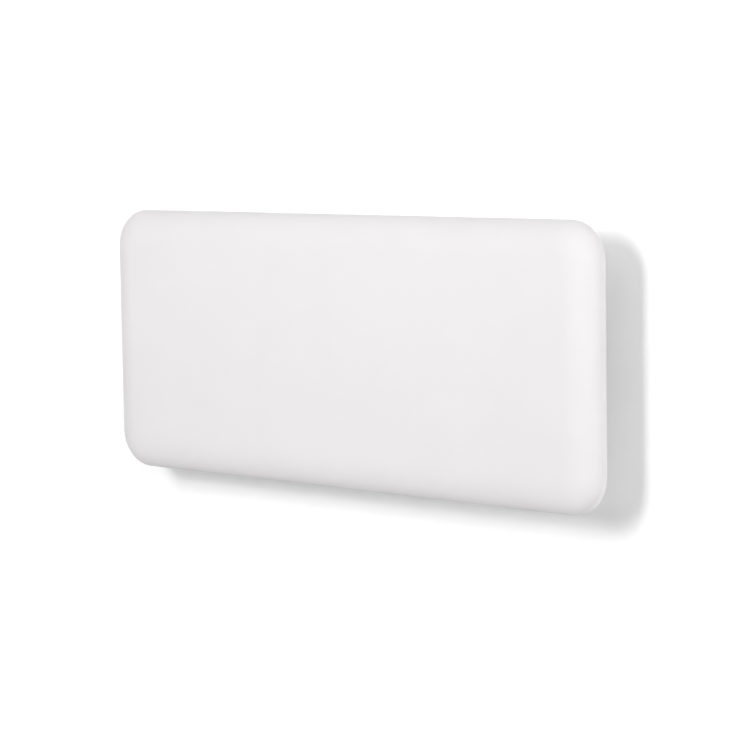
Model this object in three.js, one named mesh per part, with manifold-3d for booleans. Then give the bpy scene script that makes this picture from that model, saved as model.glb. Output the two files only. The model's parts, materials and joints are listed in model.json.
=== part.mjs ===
// Wall-hung electric panel heater, in millimetres, +Z up, its front facing -Y.
// The wall is the plane y = 0, and the origin is the centre of the wall bracket's back.
import * as THREE from 'three';
import { mergeVertices } from 'three/addons/utils/BufferGeometryUtils.js';
import Module from 'manifold-3d';

const wasm = await Module();
wasm.setup();

// Clearance between pieces that seat on each other, and how far a cut runs past its piece.
const FIT = { gap: 0.3, overrun: 6 };

// How finely curves are stepped.
const STEPS = {
  corner: 6, roll: 6, bend: 2, slotEnd: 2, round: 12, small: 8, hex: 6,
  lead: 2, leadSides: 6,
};

// Pressed front cover: its corner, and its pillow edge, an ellipse rollIn wide and rollDeep deep.
const COVER = {
  width: 885, height: 370, corner: 52, rollIn: 45, rollDeep: 25, side: 5, sheet: 1, hem: 14, hemBend: 2,
};

// Rear case: a flange plate behind the cover with a drawn box that stands off the wall.
const CASE = {
  standOff: 20, depth: 34.7, sideInset: 52.5, topInset: 35, corner: 25, sheet: 1, flangeInset: 5,
  mouthBend: 2, backBend: 4,
};

// Air slots in the top and bottom walls of the case.
const VENT = { width: 10, length: 20, pitch: 30, margin: 36, bottomEnd: 100 };

// Screws that hold the cover's hem to the case's flange.
const COVER_SCREW = {
  headRadius: 3.5, headHeight: 2.4, shankRadius: 1.8, length: 9, crown: 0.9, acrossShare: 0.29,
};

// Cross-recess in a screw's head.
const RECESS = { width: 0.9, depth: 1.1, reach: 2 };

// Front heat shield, a hat section whose feet stand on the case's flange.
const SHIELD = {
  fromChamber: 15, slope: 22, shoulder: 3, foot: 15, sheet: 0.8, fromFront: 7, bend: 4,
  slotWidth: 12, slotPitch: 75, slotHeight: 12,
};

// Rear reflector, a shallow hat section on the case's back.
const REFLECTOR = { endInset: 27, slope: 6, foot: 12, fromHook: 18, sheet: 0.6, rise: 4, bend: 2 };

// Heating element: a sheath clasped by two pressed fin halves.
const ELEMENT = { leftRoom: 43, rightRoom: 43, drop: 15, fromBack: 27, sheathRadius: 4.25 };
const FIN = {
  endInset: 17, sheet: 1.2, ear: 13, wingHeight: 45, wingDepth: 15, lip: 4, bend: 2,
  slitWidth: 4, slitLength: 22, slitPitch: 32, slitStart: 18,
};
const BUSH = { radius: 6.5, length: 12, collar: 8, collarLength: 3 };
const TERMINAL = { radius: 1.8, length: 7, tabLength: 8.5, tabWidth: 6.3, tabSheet: 0.8 };
const ELEMENT_BRACKET = { sheet: 1.2, foot: 16, height: 46, top: 44, bend: 2, inset: 8, corner: 6 };

// Thermal cut-out on its stand above the element.
const CUTOUT = {
  radius: 8, height: 7, capRadius: 6.2, capHeight: 3, fromChamber: 110, up: 62,
  tab: 7, tabWidth: 4, tabSheet: 0.8,
};
const CUTOUT_STAND = { sheet: 0.8, width: 20, foot: 12, rise: 14, top: 26, bend: 2 };

// Wall between the heating chamber and the controls, with a bush for the leads.
const CHAMBER_WALL = { fromSide: 50, sheet: 1, foot: 12, depth: 46, endRoom: 19, bend: 2 };
const GROMMET = { bore: 4.6, hole: 7, flange: 9, lip: 1.8, up: 43 };

// Moulded tray behind the case's right wall, with the fascia outside it; aboveShare is how much of
// the room between the case's corners lies above the tray.
const HOUSING = {
  aboveShare: 13 / 63, depth: 38, wall: 1.6, top: 112, bottom: 75, corner: 4, post: 2.5, leadHole: 6,
};
const FASCIA = {
  sideInset: 3.85, top: 104, bottom: 64, corner: 4, plate: 2,
  rim: 1.5, rimDepth: 4.3, inset: 2, clearance: 0.4,
};
const WINDOW = { height: 34, fromEdge: 6, corner: 1.5, flange: 1.3, flangeSheet: 1.1, up: 80, pane: 1.7 };
const BUTTON = {
  radius: 4, hole: 4.4, flange: 5.4, flangeSheet: 1.2, proud: 1.3, dish: 0.5, dishShare: 0.7,
  tail: 2, travel: 0.8, top: 48, pitch: 14,
};
const SWITCH = { size: 6, height: 3.4 };
const ROCKER = {
  width: 8.8, reach: 8.7, edge: 2.9, valley: 1, sink: 1.6, axle: 1, axleReach: 1, centre: -32,
};
const ROCKER_FRAME = { rim: 1.3, rimSheet: 1.2, wall: 1.3, depth: 14, floor: 1.4, corner: 1 };
const ROCKER_TILT = THREE.MathUtils.degToRad(9);

// Circuit board and what stands on its inner face.
const BOARD = { sheet: 1.6, fromWall: 12, top: 108, bottom: 0, margin: 0.6, corner: 1 };
const RELAY = { length: 19, width: 15, height: 15, up: 84, corner: 1 };
const CAPACITOR = { radius: 5, length: 17, up: 62, stand: 0.6 };
const BLOCK = { length: 22, width: 15, height: 12, up: 26, ways: 3, hole: 1.8, holeDepth: 6, pitch: 7 };

// Cable gland in the case's bottom wall, its lock nut, and the earth stud on the back sheet.
const GLAND = {
  fromSide: 38, bore: 4, neck: 8, flange: 11, flangeSheet: 3, nose: 14, noseRadius: 6, inside: 11,
};
const GLAND_NUT = { radius: 11, height: 5 };
const EARTH = {
  fromSide: 20, drop: 104, stud: 2, length: 11, nut: 4, nutHeight: 3.2, washer: 5, washerSheet: 1,
};

// Air sensor in its clip on the bottom wall.
const SENSOR = {
  fromChamber: 18, radius: 2.4, length: 13, stand: 7, clipLength: 8, clipWall: 1.4, clipFoot: 7,
};

// Leads inside the case.
const LEAD = { radius: 1.1, sensorRadius: 0.9, side: 1.8 };
const ROUTE = { loop: 22, bow: 12, fromTop: 20, clear: 7, dip: 30, knee: 9, stub: 3, apart: 2 };

// Wall bracket: two folded uprights with hooks, joined by a crossbar.
const BRACKET = {
  spacing: 400, overCatch: 8, flange: 26, sheet: 1.5, fromCase: 2, bend: 2, chamfer: 4,
  slotLength: 14, slotWidth: 5.5, slotRise: 56, windowLength: 58, windowWidth: 7, windowRise: 50,
};
const HOOK = {
  fromBottom: 32, tongue: 8, gapDepth: 3, lip: 2.5, lipHeight: 9, tip: 1, width: 8, slotHeight: 19,
};
const LINER = { top: 1.2, cheek: 1.2, drop: 4 };
const CROSSBAR = {
  height: 60, overlap: 18, joggle: 5, rivet: 2.6, rivetHeight: 1, rivetRise: 18,
  slotLength: 16, slotWidth: 5.5, slotAcross: 92,
};
const BUFFER = { height: 24, wall: 2.2, grip: 5, underCatch: 33 };
const CATCH = {
  fromTop: 33, width: 14, sheet: 0.8, inset: 15, root: 26, bend: 3, valley: 1, crest: 3.4,
  crestReach: 3.2, noseReach: 8.5, noseDrop: 2.6, slotHeight: 13, slotWidth: 18,
  rivet: 2.4, rivetHeight: 0.9, rivetShare: 0.6,
};

// Planes and places that follow from the sizes above.
const caseBack = -CASE.standOff;
const caseFloor = caseBack - CASE.sheet;
const flangeFront = caseBack - CASE.depth;
const flangeBack = flangeFront + CASE.sheet;
const coverBack = flangeFront - FIT.gap;
const coverFront = coverBack - COVER.side - COVER.rollDeep;
const coverInside = coverFront + COVER.sheet;
const wallMiddle = (flangeFront + caseBack) / 2;
const caseSide = COVER.width / 2 - CASE.sideInset;
const caseTop = COVER.height / 2 - CASE.topInset;
const boxDepth = CASE.depth - CASE.sheet;
const screwInset = (COVER.hem + CASE.flangeInset) / 2;
const chamberX = caseSide - CHAMBER_WALL.fromSide;
const chamberWallHeight = 2 * (caseTop - CHAMBER_WALL.endRoom);
const sheathStart = ELEMENT.leftRoom - caseSide;
const sheathEnd = chamberX - ELEMENT.rightRoom;
const sheathLength = sheathEnd - sheathStart;
const elementX = (sheathStart + sheathEnd) / 2;
const finLength = sheathLength - 2 * FIN.endInset;
const cutoutX = chamberX - CUTOUT.fromChamber;
const sensorX = chamberX - SENSOR.fromChamber;
const glandX = caseSide - GLAND.fromSide;
const earthX = caseSide - EARTH.fromSide;
const hookDrop = caseTop - HOOK.fromBottom;
const catchUp = caseTop - CATCH.fromTop;
const bracketTop = catchUp + BRACKET.overCatch;
const bufferUp = catchUp - BUFFER.underCatch;
const highRoute = caseTop - ROUTE.fromTop;
const trayRoom = 2 * (caseTop - CASE.corner) - HOUSING.top - HOUSING.bottom;
const packZ = caseTop - CASE.corner - trayRoom * HOUSING.aboveShare - HOUSING.top;
const grommetZ = packZ + GROMMET.up;
const bracketWeb = CASE.standOff - BRACKET.fromCase;
const fasciaWidth = boxDepth - 2 * FASCIA.sideInset;
const windowWidth = fasciaWidth - 2 * WINDOW.fromEdge;

const GREY = { roughness: 0.5, metalness: 0.9 };
const FINISHES = {
  powderCoat: { color: 0xf0eff0, roughness: 0.5, metalness: 0 },
  caseCoat: { color: 0xe9e9ea, roughness: 0.6, metalness: 0 },
  zincSteel: { color: 0xa9adb0, ...GREY },
  springSteel: { color: 0x6e7276, roughness: 0.35, metalness: 0.9 },
  aluminium: { color: 0xc9ccd0, roughness: 0.3, metalness: 1 },
  sheathSteel: { color: 0x7a756e, roughness: 0.5, metalness: 0.9 },
  ceramic: { color: 0xece6d8, roughness: 0.7, metalness: 0 },
  greyPlastic: { color: 0xd4d6d8, roughness: 0.6, metalness: 0 },
  whitePlastic: { color: 0xf2f2f1, roughness: 0.45, metalness: 0 },
  blackPlastic: { color: 0x1b1c1e, roughness: 0.5, metalness: 0 },
  smokedWindow: { color: 0x17191c, roughness: 0.1, metalness: 0 },
  board: { color: 0x2f5d3c, roughness: 0.6, metalness: 0 },
  rubber: { color: 0x2a2b2d, roughness: 0.9, metalness: 0 },
  brass: { color: 0xc9a75a, roughness: 0.35, metalness: 1 },
  leadRed: { color: 0x9c4a3c, roughness: 0.6, metalness: 0 },
  leadBlue: { color: 0x3c5f9c, roughness: 0.6, metalness: 0 },
  leadGreen: { color: 0x6f9440, roughness: 0.6, metalness: 0 },
  leadGrey: { color: 0xb9b9b7, roughness: 0.6, metalness: 0 },
};

const at = (x, y) => new THREE.Vector2(x, y);
const AXIS = {
  x: new THREE.Vector3(1, 0, 0),
  y: new THREE.Vector3(0, 1, 0),
  z: new THREE.Vector3(0, 0, 1),
};

// Outlines are drawn in two directions and pushed along the third: x takes (y, z), y takes (x, z)
// and pushes towards -Y, and z takes (x, y).
const TURNS = {
  x: new THREE.Matrix4().makeBasis(AXIS.y, AXIS.z, AXIS.x),
  y: new THREE.Matrix4().makeBasis(AXIS.x, AXIS.z, AXIS.y.clone().negate()),
  z: new THREE.Matrix4(),
};

// A closed mesh as a solid for cutting and joining.
function solidOf(geometry) {
  const bare = geometry.clone();
  bare.deleteAttribute('normal');
  bare.deleteAttribute('uv');
  const merged = mergeVertices(bare);
  const faces = [];
  const order = merged.index.array;
  for (let i = 0; i < order.length; i += 3) {
    const [a, b, c] = [order[i], order[i + 1], order[i + 2]];
    if (a !== b && b !== c && c !== a) faces.push(a, b, c);
  }
  const vertProperties = merged.attributes.position.array;
  const triVerts = Uint32Array.from(faces);
  return new wasm.Manifold(new wasm.Mesh({ numProp: 3, vertProperties, triVerts }));
}

// A solid back as a three.js geometry.
function geometryOf(solid) {
  const mesh = solid.getMesh();
  const geometry = new THREE.BufferGeometry();
  geometry.setAttribute('position', new THREE.BufferAttribute(mesh.vertProperties, 3));
  geometry.setIndex(new THREE.BufferAttribute(mesh.triVerts, 1));
  return geometry;
}

const joined = (solids) => solids.reduce((whole, solid) => whole.add(solid));
const cut = (solid, tools) => tools.reduce((rest, tool) => rest.subtract(tool), solid);

// Points of a rectangle with round corners, anticlockwise from the right side.
function cornerPoints(halfWidth, halfHeight, radius, steps) {
  const points = [];
  for (let corner = 0; corner < 4; corner += 1) {
    const signX = corner === 0 || corner === 3 ? 1 : -1;
    const signY = corner < 2 ? 1 : -1;
    for (let step = 0; step <= steps; step += 1) {
      const angle = (corner + step / steps) * Math.PI / 2;
      points.push(at(
        signX * (halfWidth - radius) + radius * Math.cos(angle),
        signY * (halfHeight - radius) + radius * Math.sin(angle),
      ));
    }
  }
  return points;
}

// Drops points that coincide with the one before.
function outlineOf(points) {
  const previous = (i) => points[(i + points.length - 1) % points.length];
  const kept = points.filter((point, i) => !point.equals(previous(i)));
  const span = new THREE.Box2().setFromPoints(kept).getSize(at(0, 0)).length();
  return new THREE.Shape(kept.filter((point, i) => {
    const before = kept[(i + kept.length - 1) % kept.length];
    return point.distanceTo(before) > span * Number.EPSILON ** 0.5;
  }));
}

// A plate outline: a rectangle with round corners, or square ones where the radius is zero.
function plate(width, height, radius = 0, steps = STEPS.bend) {
  return outlineOf(cornerPoints(width / 2, height / 2, radius, radius > 0 ? steps : 1));
}

// A slot outline with round ends.
function slot(width, height) {
  return plate(width, height, Math.min(width, height) / 2, STEPS.slotEnd);
}

function disc(radius, steps = STEPS.round) {
  const turn = 2 * Math.PI / steps;
  return new THREE.Shape(Array.from({ length: steps }, (_, i) => at(
    radius * Math.cos(turn * (i + 0.5)),
    radius * Math.sin(turn * (i + 0.5)),
  )));
}

// Pushes an outline by a length from where it is drawn.
function prism(outline, length, axis) {
  const pushed = new THREE.ExtrudeGeometry(outline, { depth: length, bevelEnabled: false });
  return pushed.applyMatrix4(TURNS[axis]);
}

// Pushes an outline by half a length each way.
function centredPrism(outline, length, axis) {
  const shift = AXIS[axis].clone().multiplyScalar(axis === 'y' ? length / 2 : -length / 2);
  return prism(outline, length, axis).translate(shift.x, shift.y, shift.z);
}

// Turns a profile of (radius, height) points that runs up its outer side.
function turned(profile, axis, steps = STEPS.round) {
  return new THREE.LatheGeometry(profile, steps).rotateX(Math.PI / 2).applyMatrix4(TURNS[axis]);
}

// Rounds the corners of an open line with short curves.
function roundedLine(points, radius) {
  const line = [points[0]];
  for (let i = 1; i < points.length - 1; i += 1) {
    const back = points[i - 1].clone().sub(points[i]);
    const ahead = points[i + 1].clone().sub(points[i]);
    const turn = Math.PI - back.angleTo(ahead);
    const reach = Math.min(radius * Math.tan(turn / 2), back.length() / 2, ahead.length() / 2);
    const start = points[i].clone().add(back.setLength(reach));
    const end = points[i].clone().add(ahead.setLength(reach));
    line.push(...new THREE.QuadraticBezierCurve(start, points[i], end).getPoints(STEPS.bend));
  }
  line.push(points[points.length - 1]);
  const least = radius * Number.EPSILON ** 0.5;
  return line.filter((point, i) => i === 0 || point.distanceTo(line[i - 1]) > least);
}

// The section of a folded sheet whose middle follows a line.
function foldedSheet(points, sheet, radius) {
  const line = roundedLine(points, radius);
  const near = [];
  const far = [];
  line.forEach((point, i) => {
    const before = line[Math.max(i - 1, 0)];
    const after = line[Math.min(i + 1, line.length - 1)];
    const arriving = (i === 0 ? after.clone().sub(point) : point.clone().sub(before)).normalize();
    const leaving = (i === line.length - 1 ? arriving : after.clone().sub(point)).clone().normalize();
    const along = arriving.clone().add(leaving).normalize();
    const offset = at(-along.y, along.x).multiplyScalar(sheet / 2 / along.dot(leaving));
    near.push(point.clone().add(offset));
    far.unshift(point.clone().sub(offset));
  });
  return new THREE.Shape([...near, ...far]);
}

// A closed body through rings of equal counts, from its first cap, facing -Y, to its last, facing +Y.
function loft(rings) {
  const count = rings[0].length;
  const index = [];
  const last = (rings.length - 1) * count;
  for (let i = 1; i < count - 1; i += 1) {
    index.push(0, i, i + 1);
    index.push(last, last + i + 1, last + i);
  }
  for (let ring = 0; ring < rings.length - 1; ring += 1) {
    for (let i = 0; i < count; i += 1) {
      const next = (i + 1) % count;
      const [a, b] = [ring * count + i, ring * count + next];
      const [c, d] = [b + count, a + count];
      index.push(a, d, c, a, c, b);
    }
  }
  const geometry = new THREE.BufferGeometry().setFromPoints(rings.flat());
  return geometry.setIndex(index);
}

// One ring of a pressed shell, set in from an outline and lying at a depth.
function shellRing(shell, inset, y) {
  const halfWidth = shell.width / 2 - inset;
  const halfHeight = shell.height / 2 - inset;
  const points = cornerPoints(halfWidth, halfHeight, shell.corner - inset, STEPS.corner);
  return points.map((point) => new THREE.Vector3(point.x, y, point.y));
}

// Quarter-circle shares, from 0 to 1 along and across.
function quarter(steps) {
  return Array.from({ length: steps + 1 }, (_, i) => {
    const angle = i / steps * Math.PI / 2;
    return { sine: Math.sin(angle), fall: 1 - Math.cos(angle) };
  });
}

// A named mesh in its own finish, placed by its position.
function piece(name, shape, finish, position = [0, 0, 0]) {
  const geometry = shape.isBufferGeometry ? shape : geometryOf(shape);
  const material = new THREE.MeshStandardMaterial({ ...FINISHES[finish], flatShading: true });
  const mesh = new THREE.Mesh(geometry, material);
  mesh.name = name;
  mesh.position.set(...position);
  return mesh;
}

function groupOf(members, position = [0, 0, 0]) {
  const group = new THREE.Group();
  group.position.set(...position);
  group.add(...members);
  return group;
}

// Places of the cover's screws, as X and Z.
function screwPlaces() {
  const rise = COVER.height / 2 - screwInset;
  const side = COVER.width / 2 - screwInset;
  const across = COVER.width * COVER_SCREW.acrossShare;
  return [[-across, rise], [across, rise], [-across, -rise], [across, -rise], [-side, 0], [side, 0]];
}

// Round holes for the cover's screws through a sheet that lies across Y.
function screwHoles(y) {
  const radius = COVER_SCREW.shankRadius + FIT.gap;
  return screwPlaces().map(([x, z]) => (
    solidOf(centredPrism(disc(radius, STEPS.small), 2 * FIT.overrun, 'y')).translate([x, y, z])
  ));
}

// Front cover: one deep-drawn sheet with a pillow edge, a short side and a hem turned inwards.
function frontCover() {
  const arc = quarter(STEPS.roll);
  const bend = quarter(STEPS.bend);
  const rollEnd = coverFront + COVER.rollDeep;
  const hemInside = COVER.hemBend - COVER.sheet;
  const outer = arc.map(({ sine, fall }) => (
    shellRing(COVER, COVER.rollIn * (1 - sine), coverFront + COVER.rollDeep * fall)
  ));
  const hemOuter = bend.map(({ sine, fall }) => (
    shellRing(COVER, COVER.hemBend * fall, coverBack - COVER.hemBend * (1 - sine))
  ));
  const hemInner = bend.map(({ sine, fall }) => (
    shellRing(COVER, COVER.sheet + hemInside * fall, coverBack - COVER.sheet - hemInside * (1 - sine))
  )).reverse();
  const inner = arc.map(({ sine, fall }) => shellRing(
    COVER,
    COVER.sheet + (COVER.rollIn - COVER.sheet) * (1 - sine),
    rollEnd - (COVER.rollDeep - COVER.sheet) * (1 - fall),
  )).reverse();
  const hemEdge = [coverBack, coverBack - COVER.sheet].map((y) => shellRing(COVER, COVER.hem, y));
  const shell = solidOf(loft([...outer, ...hemOuter, ...hemEdge, ...hemInner, ...inner]));
  return piece('front_cover', cut(shell, screwHoles(coverBack)), 'powderCoat');
}

// The air slots of one wall of the case, from one end to the other.
function ventCuts(wallZ, start, end) {
  const count = Math.floor((end - start) / VENT.pitch) + 1;
  const first = (start + end - (count - 1) * VENT.pitch) / 2;
  const opening = centredPrism(slot(VENT.width, VENT.length), 2 * FIT.overrun, 'z');
  const tool = solidOf(opening);
  return Array.from({ length: count }, (_, i) => (
    tool.translate([first + i * VENT.pitch, wallMiddle, wallZ])
  ));
}

// Openings in the case's back sheet for the bracket's hooks and catches.
function hangingCuts() {
  const across = BRACKET.spacing / 2;
  const catchAcross = across - CATCH.inset;
  const hookZ = -hookDrop - HOOK.slotHeight / 2;
  const catchZ = catchUp - CATCH.slotHeight / 2;
  const opening = (width, height) => (
    solidOf(centredPrism(plate(width, height, HOOK.tip), 2 * FIT.overrun, 'y'))
  );
  const hookTool = opening(HOOK.width, HOOK.slotHeight);
  const catchTool = opening(CATCH.slotWidth, CATCH.slotHeight);
  return [-1, 1].flatMap((side) => [
    hookTool.translate([side * across, caseBack, hookZ]),
    catchTool.translate([side * catchAcross, caseBack, catchZ]),
  ]);
}

// The opening in the case's right wall for the fascia.
const fasciaCentre = (FASCIA.top - FASCIA.bottom) / 2;
const fasciaHeight = FASCIA.top + FASCIA.bottom;
const fasciaOpening = { width: fasciaWidth - 2 * FASCIA.inset, height: fasciaHeight - 2 * FASCIA.inset };

function rearCase() {
  const box = { width: 2 * caseSide, height: 2 * caseTop, corner: CASE.corner };
  const mouth = quarter(STEPS.bend);
  const innerMouth = CASE.mouthBend + CASE.sheet;
  const innerBack = CASE.backBend - CASE.sheet;
  const rings = [
    ...mouth.map(({ sine, fall }) => (
      shellRing(box, CASE.sheet + innerBack * (1 - sine), caseFloor - innerBack * fall)
    )),
    ...mouth.map(({ sine, fall }) => (
      shellRing(box, CASE.sheet - innerMouth * fall, flangeFront + innerMouth * (1 - sine))
    )),
    shellRing(COVER, CASE.flangeInset, flangeFront),
    shellRing(COVER, CASE.flangeInset, flangeBack),
    ...mouth.map(({ sine, fall }) => (
      shellRing(box, -CASE.mouthBend * fall, flangeBack + CASE.mouthBend * (1 - sine))
    )).reverse(),
    ...mouth.map(({ sine, fall }) => (
      shellRing(box, CASE.backBend * (1 - sine), caseBack - CASE.backBend * fall)
    )).reverse(),
  ];
  const glandHole = solidOf(centredPrism(disc(GLAND.neck + FIT.gap), 2 * FIT.overrun, 'z'));
  const control = solidOf(centredPrism(
    plate(fasciaOpening.width, fasciaOpening.height, FASCIA.inset), 2 * FIT.overrun, 'x',
  ));
  const span = caseSide - VENT.margin;
  const shell = cut(solidOf(loft(rings)), [
    ...ventCuts(caseTop, -span, span),
    ...ventCuts(-caseTop, -span, span - VENT.bottomEnd),
    ...hangingCuts(),
    ...screwHoles(flangeBack),
    glandHole.translate([glandX, wallMiddle, -caseTop]),
    control.translate([caseSide, wallMiddle, packZ + fasciaCentre]),
  ]);
  return piece('rear_case', shell, 'caseCoat');
}

// A cover screw with a crowned, cross-recessed head on the wall side.
function coverScrew(name, [x, z]) {
  const profile = [
    at(0, -COVER_SCREW.headHeight),
    at(COVER_SCREW.headRadius / 2, -COVER_SCREW.headHeight),
    at(COVER_SCREW.headRadius, COVER_SCREW.crown - COVER_SCREW.headHeight),
    at(COVER_SCREW.headRadius, 0),
    at(COVER_SCREW.shankRadius, 0),
    at(COVER_SCREW.shankRadius, COVER_SCREW.length - COVER_SCREW.shankRadius),
    at(COVER_SCREW.shankRadius / 2, COVER_SCREW.length),
    at(0, COVER_SCREW.length),
  ];
  const bar = (width, height) => solidOf(centredPrism(plate(width, height), 2 * RECESS.depth, 'y'));
  const cross = [bar(2 * RECESS.reach, RECESS.width), bar(RECESS.width, 2 * RECESS.reach)];
  const head = COVER_SCREW.headHeight;
  const screw = cut(solidOf(turned(profile, 'y', STEPS.small)), [joined(cross).translate([0, head, 0])]);
  return piece(name, screw, 'zincSteel', [x, flangeBack + FIT.gap, z]);
}

// Front heat shield, with a row of air slots in each leg.
function frontHeatShield() {
  const crown = coverInside + SHIELD.fromFront;
  const foot = flangeFront - FIT.gap - SHIELD.sheet / 2;
  const shoulder = caseTop + SHIELD.shoulder;
  const side = [at(foot, shoulder + SHIELD.foot), at(foot, shoulder), at(crown, shoulder - SHIELD.slope)];
  const mirrored = side.map((point) => at(point.x, -point.y)).reverse();
  const width = 2 * (chamberX - SHIELD.fromChamber);
  const section = foldedSheet([...side, ...mirrored], SHIELD.sheet, SHIELD.bend);
  const sheet = solidOf(centredPrism(section, width, 'x'));
  const legZ = shoulder - SHIELD.slope / 2;
  const count = Math.floor((width - SHIELD.slotPitch) / SHIELD.slotPitch);
  const tool = solidOf(centredPrism(slot(SHIELD.slotWidth, SHIELD.slotHeight), 2 * FIT.overrun, 'y'));
  const slots = Array.from({ length: count }, (_, i) => (i - (count - 1) / 2) * SHIELD.slotPitch)
    .flatMap((x) => [-legZ, legZ].map((z) => tool.translate([x, (crown + foot) / 2, z])));
  return piece('front_heat_shield', cut(sheet, slots), 'zincSteel');
}

// Rear reflector on the case's back sheet.
function rearReflector() {
  const foot = caseFloor - FIT.gap - REFLECTOR.sheet / 2;
  const crown = foot - REFLECTOR.rise;
  const edge = hookDrop - REFLECTOR.fromHook;
  const shoulder = edge - REFLECTOR.foot;
  const side = [at(foot, edge), at(foot, shoulder), at(crown, shoulder - REFLECTOR.slope)];
  const mirrored = side.map((point) => at(point.x, -point.y)).reverse();
  const section = foldedSheet([...side, ...mirrored], REFLECTOR.sheet, REFLECTOR.bend);
  const length = sheathLength - 2 * REFLECTOR.endInset;
  return piece('rear_reflector', centredPrism(section, length, 'x'), 'aluminium', [elementX, 0, 0]);
}
const reflectorFace = caseFloor - FIT.gap - REFLECTOR.sheet - REFLECTOR.rise;

// One pressed half of the finned element: wings with slits, ears and a saddle round the sheath.
function finHalf(name, facing) {
  const middle = (FIT.gap + FIN.sheet) / 2;
  const saddle = ELEMENT.sheathRadius + FIT.gap + FIN.sheet / 2;
  const meet = Math.asin(middle / saddle);
  const wing = [
    at(FIN.wingDepth + FIN.lip, FIN.wingHeight),
    at(FIN.wingDepth, FIN.wingHeight),
    at(middle, FIN.ear),
  ];
  const arcSteps = STEPS.roll;
  const saddleArc = Array.from({ length: arcSteps + 1 }, (_, i) => {
    const angle = meet + (Math.PI - 2 * meet) * i / arcSteps;
    return at(saddle * Math.sin(angle), saddle * Math.cos(angle));
  });
  const lower = wing.map((point) => at(point.x, -point.y)).reverse();
  const line = [...wing, ...saddleArc, ...lower].map((point) => at(facing * point.x, point.y));
  const half = solidOf(centredPrism(foldedSheet(line, FIN.sheet, FIN.bend), finLength, 'x'));
  const count = Math.floor((finLength - FIN.slitPitch) / FIN.slitPitch);
  const tool = solidOf(centredPrism(plate(FIN.slitWidth, FIN.slitLength), FIN.wingDepth, 'y'));
  const slitZ = FIN.slitStart + FIN.slitLength / 2;
  const slitY = facing * FIN.wingDepth * (slitZ - FIN.ear) / (FIN.wingHeight - FIN.ear);
  const slits = Array.from({ length: count }, (_, i) => (i - (count - 1) / 2) * FIN.slitPitch)
    .flatMap((x) => [-slitZ, slitZ].map((z) => tool.translate([x, slitY, z])));
  return piece(name, cut(half, slits), 'aluminium');
}

function elementSheath() {
  const rod = centredPrism(disc(ELEMENT.sheathRadius), sheathLength, 'x');
  return piece('element_sheath', rod, 'sheathSteel');
}

// The steatite bush on one end of the sheath, with its collar towards the bracket.
function elementBush(name, side) {
  const bore = TERMINAL.radius + FIT.gap;
  const profile = [
    at(bore, 0), at(BUSH.collar, 0), at(BUSH.collar, BUSH.collarLength),
    at(BUSH.radius, BUSH.collarLength), at(BUSH.radius, BUSH.length), at(bore, BUSH.length), at(bore, 0),
  ];
  const shape = turned(profile, 'x').rotateY(side > 0 ? 0 : Math.PI);
  return piece(name, shape, 'ceramic', [side * (sheathLength / 2 + FIT.gap), 0, 0]);
}

// The cold pin that runs through a bush, with its push-on tab.
function elementTerminal(name, side) {
  const start = sheathLength / 2 + 2 * FIT.gap;
  const reach = BUSH.length + TERMINAL.length;
  const pin = solidOf(prism(disc(TERMINAL.radius, STEPS.small), reach, 'x'));
  const tab = solidOf(prism(plate(TERMINAL.tabSheet, TERMINAL.tabWidth), TERMINAL.tabLength, 'x'));
  const terminal = pin.add(tab.translate([reach - TERMINAL.length / 2, 0, 0]));
  const shape = geometryOf(terminal).rotateY(side > 0 ? 0 : Math.PI);
  return piece(name, shape, 'zincSteel', [side * start, 0, 0]);
}

// The folded bracket that carries one end of the sheath from the case's back.
function elementBracket(name, side) {
  const across = side * (sheathLength / 2 - ELEMENT_BRACKET.inset);
  const foot = ELEMENT.fromBack - FIT.gap - ELEMENT_BRACKET.sheet / 2;
  const line = [
    at(side * ELEMENT_BRACKET.foot, foot), at(0, foot), at(0, ELEMENT.fromBack - ELEMENT_BRACKET.top),
  ];
  const section = foldedSheet(line, ELEMENT_BRACKET.sheet, ELEMENT_BRACKET.bend);
  const folded = solidOf(centredPrism(section, ELEMENT_BRACKET.height, 'z'));
  const face = plate(2 * ELEMENT_BRACKET.top, ELEMENT_BRACKET.height, ELEMENT_BRACKET.corner);
  const trim = solidOf(centredPrism(face, 2 * (ELEMENT_BRACKET.foot + FIT.overrun), 'x'));
  const hole = solidOf(centredPrism(disc(ELEMENT.sheathRadius + FIT.gap), 2 * FIT.overrun, 'x'));
  const bracket = folded.intersect(trim.translate([0, ELEMENT.fromBack, 0])).subtract(hole);
  return piece(name, bracket, 'zincSteel', [across, 0, 0]);
}

// The heating element, in a frame whose origin is the middle of the sheath.
function elementGroup() {
  const ends = [['left', -1], ['right', 1]];
  return groupOf([
    elementSheath(),
    finHalf('fin_half_front', -1),
    finHalf('fin_half_rear', 1),
    ...ends.map(([end, side]) => elementBush(`element_bush_${end}`, side)),
    ...ends.map(([end, side]) => elementTerminal(`element_terminal_${end}`, side)),
    ...ends.map(([end, side]) => elementBracket(`element_bracket_${end}`, side)),
  ], [elementX, caseFloor - ELEMENT.fromBack, -ELEMENT.drop]);
}

// The stand of the thermal cut-out, folded in a step from the reflector's face.
const cutoutSeat = reflectorFace - FIT.gap - CUTOUT_STAND.rise;
function thermalCutoutStand() {
  const low = -FIT.gap - CUTOUT_STAND.sheet / 2;
  const high = low - CUTOUT_STAND.rise + CUTOUT_STAND.sheet;
  const line = [
    at(low, CUTOUT_STAND.foot + CUTOUT_STAND.top / 2),
    at(low, CUTOUT_STAND.top / 2),
    at(high, CUTOUT_STAND.top / 2),
    at(high, -CUTOUT_STAND.top / 2),
  ];
  const section = foldedSheet(line, CUTOUT_STAND.sheet, CUTOUT_STAND.bend);
  const stand = centredPrism(section, CUTOUT_STAND.width, 'x');
  return piece('thermal_cutout_stand', stand, 'aluminium', [cutoutX, reflectorFace, CUTOUT.up]);
}

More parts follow.
